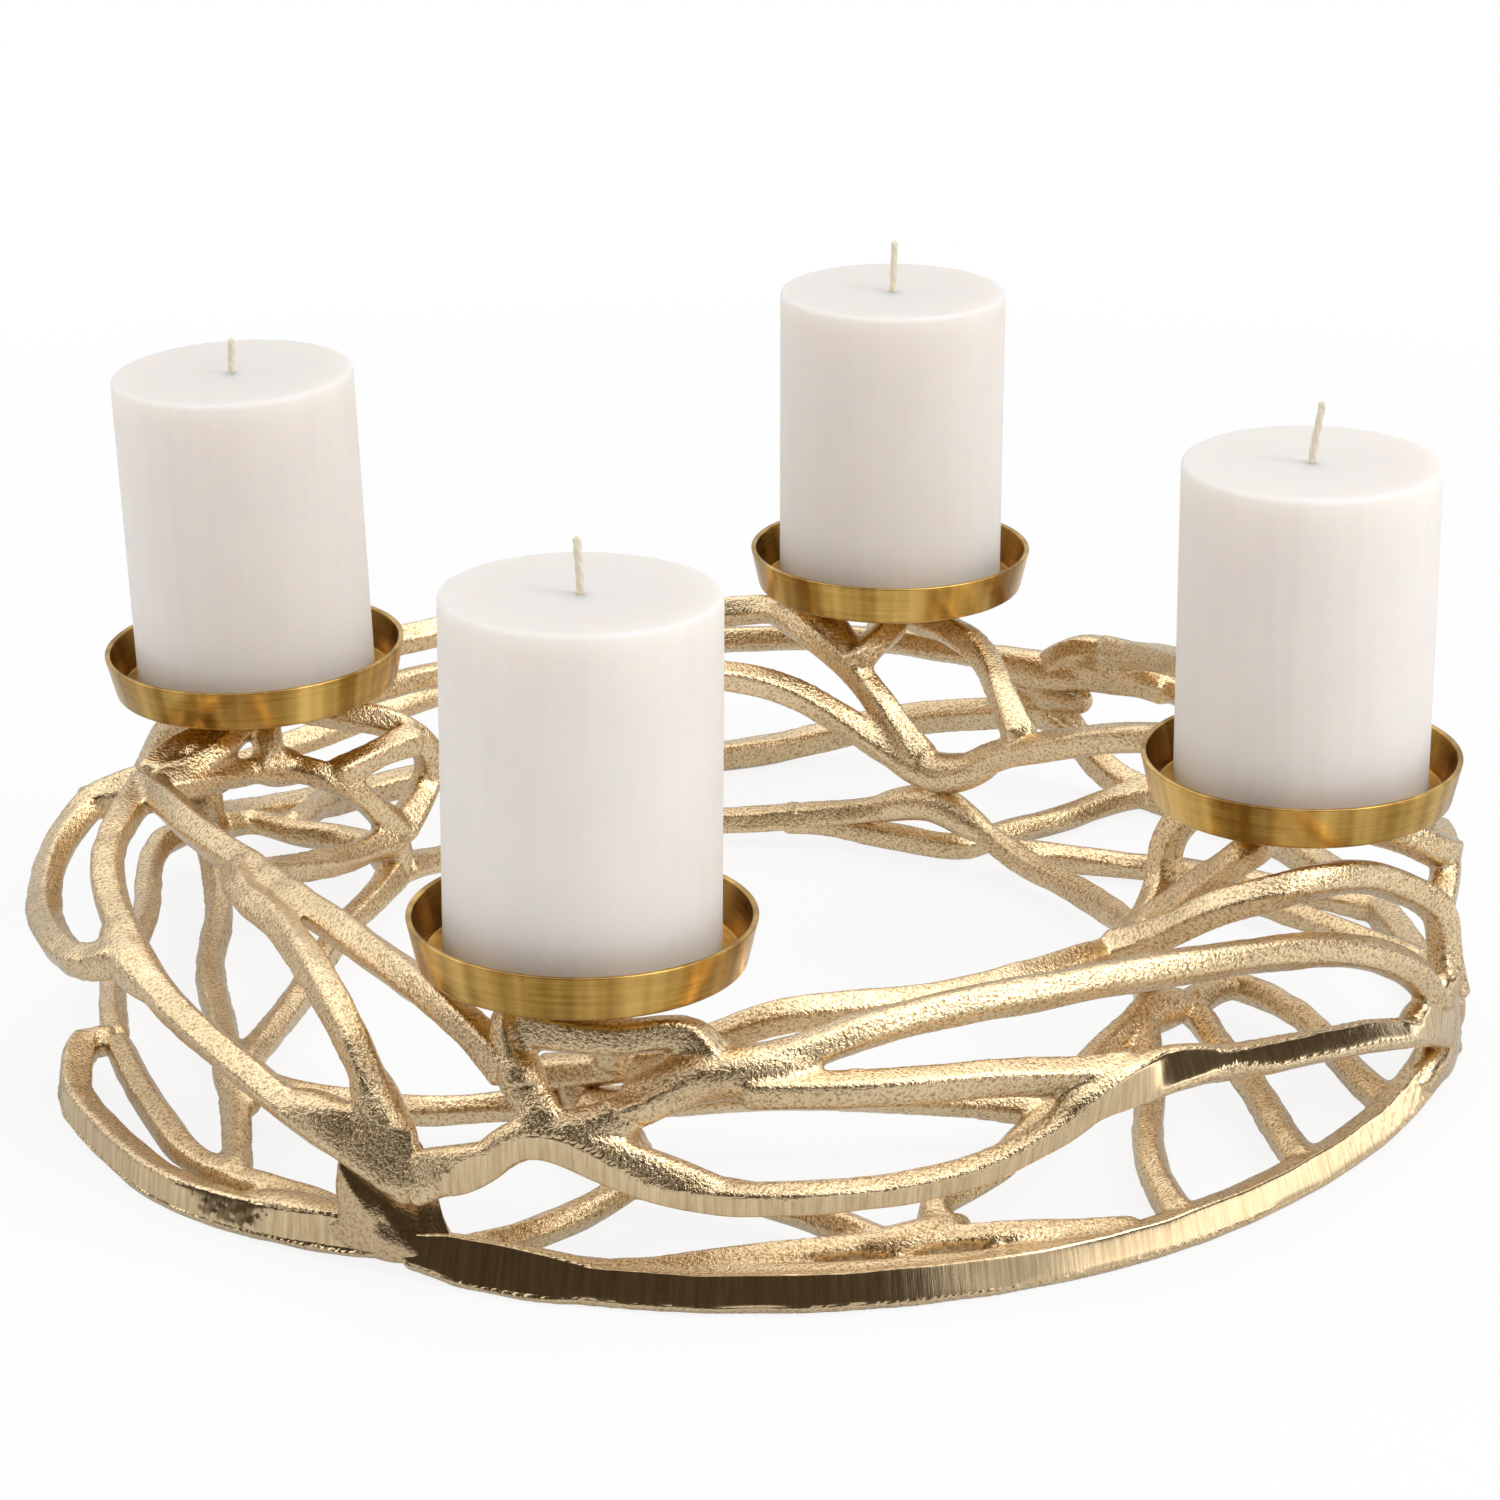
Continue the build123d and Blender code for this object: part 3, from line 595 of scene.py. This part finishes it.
def waves(points, longest, shortest, count=28):
    """A sum of sine waves in many directions, about 1 high: smooth, endless and the same on every run."""
    draw = np.random.default_rng(WAVE_SEED)
    direction = draw.normal(size=(3, count))
    direction /= np.linalg.norm(direction, axis=0)
    number = 2 * np.pi / np.geomspace(longest, shortest, count)
    return np.sin(points @ (direction * number) + draw.uniform(0, 2 * np.pi, count)).sum(1) / math.sqrt(count / 2)


def fused(name, grids, voxel, rounds):
    """One skin round many closed grids, as a mesh: a voxel remesh, then so many rounds of smoothing."""
    starts = np.cumsum([0] + [grid.shape[0] * grid.shape[1] for grid in grids])
    points = np.concatenate([grid.reshape(-1, 3) for grid in grids])
    faces = np.concatenate([quads(grid.shape[0], grid.shape[1], start) for grid, start in zip(grids, starts)])
    rough = bpy.data.objects.new(name + ".rough", mesh_of(name + ".rough", points, faces))
    scene.collection.objects.link(rough)
    union = rough.modifiers.new("union", "REMESH")
    union.mode, union.voxel_size = "VOXEL", voxel
    smooth = rough.modifiers.new("smooth", "SMOOTH")
    smooth.factor, smooth.iterations = 0.5, rounds
    mesh = bpy.data.meshes.new_from_object(rough.evaluated_get(bpy.context.evaluated_depsgraph_get()))
    bpy.data.objects.remove(rough)
    mesh.name = name
    return mesh


def read(mesh, what="co"):
    """The points or the normals of a mesh as an array."""
    values = np.empty(len(mesh.vertices) * 3, np.float32)
    mesh.vertices.foreach_get(what, values)
    return values.reshape(-1, 3).astype(float)


def dressed(points, line, reach, lip, faces, soft=0.4, slant=0.0):
    """Holds points near an edge bar inside a tilted face, which opens below its lower lip, and marks them as ground.
    The smaller of radius and limit is taken smoothly, as r - s log(1 + exp((r - limit) / s)), with s the softness in
    millimetres. With a slant, in degrees a metre, the face is read further round the higher a point is."""
    square = (points**2).sum(1)[:, None] + (line**2).sum(1)[None] - 2 * points @ line.T
    nearest = square.argmin(1)
    close = square[np.arange(len(points)), nearest] < reach**2
    radius = np.linalg.norm(points[:, :2], axis=1)
    azimuth = np.degrees(np.arctan2(points[:, 1], points[:, 0])) % 360
    at, distance, look = np.array(faces, float).T
    above = points[:, 2] - line[nearest][:, 2]
    azimuth = azimuth + slant * above
    lean = np.tan(np.radians(np.interp(azimuth, at, look)))
    limit = np.linalg.norm(line[nearest][:, :2], axis=1) + np.interp(azimuth, at, distance) * MM - lean * above
    limit += OPENING * np.maximum(0, -lip * MM - above)
    touched = close & (radius > limit)
    held = radius - soft * MM * np.logaddexp(0, (radius - limit) / (soft * MM))
    scale = np.where(close, held / radius, 1.0)
    points = points * np.column_stack([scale, scale, np.ones(len(points))])
    return points, touched.astype(np.float32)


def show(name, mesh, body, finish, nodes):
    """Makes a mesh a finished piece that stands for CAD nodes and rides on their body."""
    mesh.materials.append(finish)
    mesh.shade_smooth()
    piece = bpy.data.objects.new(name, mesh)
    scene.collection.objects.link(piece)
    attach(piece, body)
    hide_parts(*nodes)
    return piece


castings = sorted({key.split()[0] for key in ROUTES})
for casting in castings:
    grids = []
    for kind, width in WIDTHS.items():
        key = f"{casting} {kind}".strip()
        for number, route in enumerate(ROUTES.get(key, [])):
            which = (key, number)
            size = EDGE_WIDTH if key == casting and which in EDGES else width
            swell, ridge = SWELLS.get(which, SWELL), RIDGES.get(which, RIDGE_OUT)
            grids.append(bar(route, size, swell, which in BLUNT, ridge))
    grids += [pool(route, width) for route, width in POOLS.get(casting, [])]
    for station in STATIONS:
        if casting == f"upper_lattice_{station}":
            grids.append(turned_points(np.array(BOSS), station, BOSS_COLUMNS))
    mesh = fused(casting, grids, CAST_VOXEL * MM, CAST_ROUNDS)
    points, normals = read(mesh), read(mesh, "normal")
    points += normals * (waves(points, *CAST_WAVES)[:, None] * CAST_WAVE_HEIGHT * MM)
    ground = np.zeros(len(points), np.float32)
    for key, number in EDGES:
        if key.split()[0] == casting:
            line, ring = route_line(ROUTES[key][number]), casting.split("_")[0]
            points, touched = dressed(points, line, FACE_REACH * MM, LIPS[ring], FACES[ring])
            ground = np.maximum(ground, touched)
    for key, number in HUB:
        if key == casting:
            line = route_line(ROUTES[key][number])
            points, _ = dressed(points, line, HUB_REACH * MM, LIPS["upper"], SLOPES, HUB_SOFTNESS)
    if casting.startswith("lower"):
        points[:, 2] = np.maximum(points[:, 2], 0.0)
    mesh.vertices.foreach_set("co", points.astype(np.float32).ravel())
    mesh.attributes.new("ground", "FLOAT", "POINT").data.foreach_set("value", ground)
    show(casting + "_cast", mesh, "holder", gold, [casting])
    print(casting, len(grids), "bars,", len(mesh.polygons), "faces,", int(ground.sum()), "points dressed")

# %% [markdown]
# ## Welds
# The two rings are welded to each other at eight places. A bead is metal that ran down the seam and froze, so it is
# made of thick pools, pushed about by waves, and on the outside smeared flat with the grinder.


# %% Weld beads
WELDS = {
    "weld_outer_front": [
        ([(234, 39, 7), (238, 38.6, 8), (242, 38, 8), (247, 38, 6)], 12.0),
        ([(239.4, 37.5, 33), (239.8, 38, 23), (240.3, 38, 12), (240.8, 38, 1)], 14.0),
        ([(242.6, 37.5, 33), (243.4, 38, 21), (245, 38, 12), (248, 37.5, 4)], 14.0),
    ],
    "weld_outer_right": [
        ([(340.6, 42.5, 34), (342.3, 44, 18), (342.7, 44, 2)], 14.0),
        ([(335, 41.5, 7), (342, 43.7, 8.5), (349, 44, 7.5)], 13.0),
        ([(341.5, 46.5, 32), (343, 48.3, 27), (343.8, 47.6, 21)], 6.5),
        ([(345, 47, 20), (346.5, 48.6, 15), (346.2, 47.5, 10)], 6.0),
    ],
    "weld_outer_back": [
        ([(60.5, 37.5, 45), (60, 38, 32), (59, 38, 18)], 13.0),
        ([(63, 38, 32), (59.5, 38, 32), (55, 38, 31)], 13.0),
    ],
    "weld_outer_left": [([(150, 40, 33), (150.5, 40, 20), (151, 40, 6)], 15.0)],
    "weld_inner_front": [([(246, -42, 28), (246, -42, 18), (246.5, -42, 8)], 10.0)],
    "weld_inner_right": [([(346, -42, 37), (346.5, -41, 24), (347, -41, 12)], 10.0)],
    "weld_inner_back": [([(60, -42.5, 38), (60, -42.5, 25), (60, -42.5, 13)], 9.0)],
    "weld_inner_left": [([(157.5, -42, 38), (157.5, -42, 25), (157.5, -42, 13)], 10.0)],
}
# Smeared faces, in the same form as the ground ones; the front one slants by so many degrees a metre of height
SMEARS = [(0, 5.0, 0), (243.0, 5.0, 2), (246.5, 2.2, 25), (256, 2.2, 25), (266, 5.0, 0), (360, 5.0, 0)]
SLANTS = {"weld_outer_front": 230.0}
SMEAR_REACH, SMEAR_SOFTNESS, SMEAR_POLISH = 40, 1.2, 0.3
WELD_VOXEL, WELD_ROUNDS = 0.9, 9
WELD_WAVES, WELD_WAVE_HEIGHT = (0.02, 0.006), 0.16
for name, runs in WELDS.items():
    mesh = fused(name, [pool(route, width) for route, width in runs], WELD_VOXEL * MM, WELD_ROUNDS)
    points, normals = read(mesh), read(mesh, "normal")
    points += normals * (waves(points, *WELD_WAVES)[:, None] * WELD_WAVE_HEIGHT * MM)
    if "outer" in name:
        line, slant = route_line(runs[0][0]), SLANTS.get(name, 0.0)
        points, smeared = dressed(points, line, SMEAR_REACH * MM, SMEAR_REACH, SMEARS, SMEAR_SOFTNESS, slant)
        mesh.attributes.new("ground", "FLOAT", "POINT").data.foreach_set("value", smeared * SMEAR_POLISH)
    points[:, 2] = np.maximum(points[:, 2], 0.0)
    mesh.vertices.foreach_set("co", points.astype(np.float32).ravel())
    show(name + "_bead", mesh, "holder", shaded_weld_gold, [name])
print(len(WELDS), "weld beads")

# %% [markdown]
# ## Dishes
# The dishes are spun from sheet brass: a flat floor with a shallow step, a wall that opens slightly and a plain cut
# rim. Spinning and polishing leave fine lines that run round the dish.


# %% Brushed brass and the dishes
def brushed_brass():
    """Fine rings from noise drawn out along each dish's own angle, kept in a UV map, and broad cloudy stripes of colour
    from noise drawn out along the profile: painted reflections, light and dark upright streaks on the walls."""
    finish, shader, wire = new_finish("dish_brass")
    way = wire.add("ShaderNodeUVMap", {"uv_map": "turn"})
    rings = noise(wire, drawn_out(wire, way, (5.0, 420.0, 1.0)), 1.0, 4.0, 0.7)
    cloud = noise(wire, object_place(wire), 60.0)
    painted_reflection_bands = noise(wire, drawn_out(wire, way, (15.0, 0.3, 1.0)), 1.0)
    # Painted reflection: the broad stripes give the walls light and dark upright streaks; rings and cloud add tone
    shade = narrow(wire, cloud * 0.15 + rings * 0.15 + painted_reflection_bands * 0.7, 0.4, 0.6)
    join(wire, shader, {
        "Base Color": tint(wire, shade, (0.27, 0.14, 0.022), (0.82, 0.53, 0.155)),
        "Roughness": 0.16 + rings * 0.14,
        "Normal": bumped(wire, rings, 0.0002, 0.16),
    })
    shader.inputs["Metallic"].default_value = 1.0
    return finish


brass = brushed_brass()
DISH_COLUMNS, CANDLE_COLUMNS = 120, 128
# Corners of the profile: radius, height above the seat and rounding
DISH = [(2.8, 0, 0.2), (41.5, 0, 1.0), (44.2, 12.2, 0.5), (42.6, 12.2, 0.5), (39.9, 1.0, 0.6), (37.0, 1.0, 0.2),
        (37.0, 1.6, 0.25), (2.8, 1.6, 0.2)]


def turned_mesh(name, profile, station, columns):
    """A turned skin closed on itself both ways, with a UV map: once round in u, along the profile in v."""
    points = turned_points(np.vstack([profile, profile[:1]]), station, columns)[:-1]
    rows = len(points)
    faces = quads(rows + 1, columns) % (rows * columns)
    mesh = mesh_of(name, points, faces[:, ::-1])
    corner = faces[:, ::-1].ravel()
    column = (corner % columns).reshape(-1, 4)
    column = np.where((column == 0) & (column.max(1, keepdims=True) == columns - 1), columns, column)
    u, v = column.ravel() / columns, (corner // columns) / rows
    mesh.uv_layers.new(name="turn").data.foreach_set("uv", np.column_stack([u, v]).ravel())
    return mesh


for station in STATIONS:
    mesh = turned_mesh(f"dish_{station}_spun", rounded(DISH), station, DISH_COLUMNS)
    show(f"dish_{station}_spun", mesh, "holder", brass, [f"dish_{station}"])
    print("dish", station, len(mesh.polygons), "faces")

# %% [markdown]
# ## Candles and wicks
# The pillar candles are pressed ivory wax: matt sides with faint upright streaks from the mould, a slightly sunk top
# and a softened edge. Light goes a few millimetres into wax, so the shader scatters it below the surface.


# %% Wax, candles and wicks
# The part of a candle's profile, in v of its UV map, over which the rounded edge turns to face upwards, and over
# which painted shade on the top fades in
TOP_EDGE = (0.197, 0.2333)


def wax():
    """Ivory with faint upright streaks and a little cloud, painted darker on the top as shade, soft inside."""
    finish, shader, wire = new_finish("wax")
    place = object_place(wire)
    streak = noise(wire, drawn_out(wire, place, (1.0, 1.0, 0.05)), 260.0)
    cloud = noise(wire, place, 45.0)
    speck = noise(wire, place, 1300.0, 2.0, 0.5)
    top = narrow(wire, axis(wire, wire.add("ShaderNodeUVMap", {"uv_map": "turn"}), 1), *TOP_EDGE)
    # Painted shade: on the top the wax takes the darker ivory, without streaks, to tone down the light falling on it
    pale = (0.45 + narrow(wire, streak * 0.5 + cloud * 0.5, 0.3, 0.7) * 0.55) * (1 - top)
    join(wire, shader, {
        "Base Color": tint(wire, pale, (0.775, 0.735, 0.70), (0.87, 0.82, 0.775)),
        "Roughness": 0.5 + cloud * 0.15,
        "Normal": bumped(wire, streak * 0.6 + speck * 0.4, 0.0004, 0.25),
    })
    shader.inputs["Subsurface Weight"].default_value = 0.8
    shader.inputs["Subsurface Radius"].default_value = (1.0, 0.7, 0.5)
    shader.inputs["Subsurface Scale"].default_value = 0.018
    return finish


def cotton():
    """Waxed cotton: cream, darker between the strands."""
    finish, shader, wire = new_finish("wick_cotton")
    fibre = noise(wire, object_place(wire), 1500.0)
    join(wire, shader, {
        "Base Color": tint(wire, fibre, (0.70, 0.62, 0.45), (0.90, 0.84, 0.69)),
        "Normal": bumped(wire, fibre, 0.0003, 0.5),
    })
    shader.inputs["Roughness"].default_value = 0.7
    return finish


wax_finish, wick_finish = wax(), cotton()
CANDLE_TOP, WICK_FOOT, SOCKET_TOP = 95.6, 87.6, 26.0
CANDLE = [(6.4, 1.6, 0.2), (35.0, 1.6, 0.6), (35.0, CANDLE_TOP, 1.8), (20.0, CANDLE_TOP - 0.3, 3.0),
          (4.0, CANDLE_TOP - 0.7, 1.5), (1.3, CANDLE_TOP - 0.4, 0.1), (1.3, WICK_FOOT, 0.1), (0.02, WICK_FOOT, 0.005),
          (0.02, SOCKET_TOP, 0.005), (0.8, SOCKET_TOP, 0.1), (3.4, 3.4, 0.1), (6.4, 3.4, 0.1)]
# Each wick's tip from the middle of its candle's top
WICK_TIPS = {
    "front": (-0.8, 0.6, 14.0),
    "right": (2.0, -1.0, 17.0),
    "back": (0.4, 0.5, 15.5),
    "left": (0.4, -0.6, 10.0),
}
WICK_RADIUS, LOBE_DEPTH, LOBE_TURN = 0.98, 0.12, 34
WICK_STEP, WICK_SIDES = 0.4, 18


def wick_points(station):
    """Three strands laid round each other: a round profile with three lobes that turn as it goes up the wick's line."""
    seat, outwards, sideways, up = station_axes(station)
    foot, mouth = seat + up * WICK_FOOT * MM, seat + up * CANDLE_TOP * MM
    tip = mouth + np.array(WICK_TIPS[station]) * MM
    bend = mouth * 0.45 + tip * 0.55 + up * 0.4 * MM
    line = spline(np.array([foot, (foot + mouth) / 2, mouth, bend, tip]), WICK_STEP * MM)
    turn = np.linspace(0, 2 * np.pi, WICK_SIDES, endpoint=False)[None]
    along = np.linspace(0, 1, len(line))[:, None]
    lobes = 1 + LOBE_DEPTH * np.cos(3 * turn - along * LOBE_TURN)
    radius = WICK_RADIUS * MM * lobes * np.clip((1 - along) * 30, 0.05, 1)
    radius[0] = 0.02 * MM
    return carried(line, np.tile(outwards, (len(line), 1)), radius)


for station in STATIONS:
    mesh = turned_mesh(f"candle_{station}_wax", rounded(CANDLE), station, CANDLE_COLUMNS)
    show(f"candle_{station}_wax", mesh, f"candle_{station}", wax_finish, [f"candle_{station}"])
    grid = wick_points(station)
    mesh = mesh_of(f"wick_{station}_cotton", grid, quads(*grid.shape[:2]))
    show(f"wick_{station}_cotton", mesh, f"candle_{station}", wick_finish, [f"wick_{station}"])
    print("candle and wick", station)

# %% [markdown]
# ## Steel
# The prickets and their nuts are plain turned steel, so the CAD pieces themselves get a finish. They hide under the wax
# and in the bosses until a candle is lifted.


# %% Steel for prickets and nuts
def turned_steel():
    """Grey metal with fine turning marks across its height."""
    finish, shader, wire = new_finish("steel")
    marks = noise(wire, drawn_out(wire, object_place(wire), (0.1, 0.1, 1.0)), 2600.0)
    join(wire, shader, {
        "Base Color": tint(wire, marks, (0.36, 0.35, 0.33), (0.55, 0.54, 0.52)),
        "Roughness": 0.28 + marks * 0.15,
        "Normal": bumped(wire, marks, 0.0002, 0.3),
    })
    shader.inputs["Metallic"].default_value = 1.0
    return finish


steel = turned_steel()
for station in STATIONS:
    for kind in ("pricket", "nut"):
        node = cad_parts[f"{kind}_{station}"]
        node.data.materials.clear()
        node.data.materials.append(steel)
print("steel on", 2 * len(STATIONS), "CAD nodes")

# %% [markdown]
# ## Studio
# A pale table and white surroundings, as in the photograph. Three soft boxes light the ring: a large one overhead,
# which whitens the tops of the bars, one at the left and a stronger one high at the right. Metal shows what stands
# round it. Dark cards in front, at the left and at the right, where a studio is dark, give the ground faces their
# depth, and a low white card at the right brightens the rim. Only reflections see the cards. The camera sees the white
# surroundings at full strength, reflections see them a little darker, and the lamps do most of the lighting.


# %% Table, backdrop and lamps
CAMERA_RAY, MIRROR_RAY, CLEAR_RAY = 0, 3, 6


def seen_rays(wire):
    """Two Wires: 1 for camera and see-through rays, and 1 for mirror rays. Both show the surroundings, and other rays
    only light."""
    camera_ray, mirror_ray, clear_ray = (
        wire.add("ShaderNodeLightPath", out=number) for number in (CAMERA_RAY, MIRROR_RAY, CLEAR_RAY)
    )
    return wire.maths("MAXIMUM", camera_ray, clear_ray), mirror_ray


def table_finish():
    """White where the camera looks, and lit like any matt board near the ring, so that metal mirrors its shadow. In
    mirrors its glow is also painted dimmer near the ring as shade, and brighter inside the ring as light.
    """
    finish, shader, wire = new_finish("table")
    shader.inputs["Base Color"].default_value = (0.9, 0.9, 0.9, 1)
    shader.inputs["Roughness"].default_value = 0.9
    shader.inputs["Specular IOR Level"].default_value = 0.0
    lit = Wire(finish.node_tree, shader.outputs[0])
    away = wire.add("ShaderNodeVectorMath", {"operation": "LENGTH"}, {0: object_place(wire)}, out=1)
    far, within = narrow(wire, away, 0.34, 0.85), narrow(wire, away, 0.15, 0.04)
    direct, mirrored = seen_rays(wire)
    # Painted shade and light in mirrors: the glow is dimmer near the ring, as its shade, and brighter inside the ring
    level = 0.56 + far * 0.4 + within * 0.3
    glow = wire.add("ShaderNodeEmission", {}, {"Color": (1, 1, 1, 1), "Strength": direct + mirrored * level})
    share = direct * (0.86 + far * 0.14) + mirrored * 0.6
    mixed = wire.add("ShaderNodeMixShader", {}, {0: share, 1: lit, 2: glow})
    wire.tree.links.new(mixed.socket, finish.node_tree.nodes["Material Output"].inputs[0])
    return finish


def card_finish(name, colour, roughness, glow):
    """One plain colour, with a white glow of some strength."""
    finish, shader, _ = new_finish(name)
    shader.inputs["Base Color"].default_value = (*colour, 1)
    shader.inputs["Roughness"].default_value = roughness
    shader.inputs["Emission Color"].default_value = (1, 1, 1, 1)
    shader.inputs["Emission Strength"].default_value = glow
    return finish


def panel(name, centre, across, upward, finish):
    """A flat rectangle from its middle and its two half sides."""
    centre, across, upward = (np.array(value, float) for value in (centre, across, upward))
    below, above = centre - upward, centre + upward
    corners = np.array([below - across, below + across, above + across, above - across])
    card = bpy.data.objects.new(name, mesh_of(name, corners, np.array([[0, 1, 2, 3]])))
    card.data.materials.append(finish)
    scene.collection.objects.link(card)
    return card


TABLE_HALF = 0.95
panel("table", (0, 0, 0), (TABLE_HALF, 0, 0), (0, TABLE_HALF, 0), table_finish())
dark = card_finish("dark_card", (0.06, 0.04, 0.018), 1.0, 0.0)
white = card_finish("white_card", (0, 0, 0), 0.5, 2.2)
# Each card's name, middle, half its length, half its height and finish
CARDS = [
    ("dark_card_front", (-0.68, -2.2, 1.9), (1.92, 0, 0), (0, 0, 2.1), dark),
    ("dark_card_left", (-2.6, -0.8, 1.2), (0, 1.4, 0), (0, 0, 1.2), dark),
    ("dark_card_right", (2.4, 0, 0.85), (0, 1.9, 0), (0, 0, 0.65), dark),
    ("white_card_right", (2.4, -0.2, 0), (0, 2.0, 0), (0, 0, 0.2), white),
]
for settings in CARDS:
    card = panel(*settings)
    card.visible_camera = card.visible_shadow = card.visible_diffuse = False

world = bpy.data.worlds.new("studio")
world.use_nodes = True
scene.world = world
wire = Wire(world.node_tree)
background = world.node_tree.nodes["Background"]
direct, mirrored = seen_rays(wire)
upward = narrow(wire, axis(wire, object_place(wire), 2), 0.15, 0.75)
strength = direct * 0.35 + mirrored * (upward * 0.78 - 0.14) + 0.65
wire.tree.links.new(strength.socket, background.inputs["Strength"])
background.inputs["Color"].default_value = (1, 1, 1, 1)


def soft_box(name, place, aim, size, power):
    """A square area lamp at a place, turned towards a point."""
    lamp = bpy.data.lights.new(name, "AREA")
    lamp.shape, lamp.size, lamp.energy = "SQUARE", size, power
    holder = bpy.data.objects.new(name, lamp)
    holder.location = place
    way = np.array(aim, float) - np.array(place, float)
    holder.rotation_euler = (math.atan2(np.hypot(way[0], way[1]), -way[2]), 0, math.atan2(way[1], way[0]) - math.pi / 2)
    scene.collection.objects.link(holder)
    return holder


# Each lamp's name, place, aim, size in metres and power in watts
LAMPS = [
    ("overhead", (0.1, 0.2, 1.55), (0, 0, 0.05), 1.0, 3.2),
    ("left", (-1.6, -0.1, 0.9), (0, 0, 0.08), 0.8, 4.5),
    ("right", (1.25, -0.62, 1.38), (0, 0, 0.08), 0.8, 13.5),
]
for settings in LAMPS:
    soft_box(*settings)
print("studio with", len(CARDS), "cards and", len(LAMPS), "lamps")
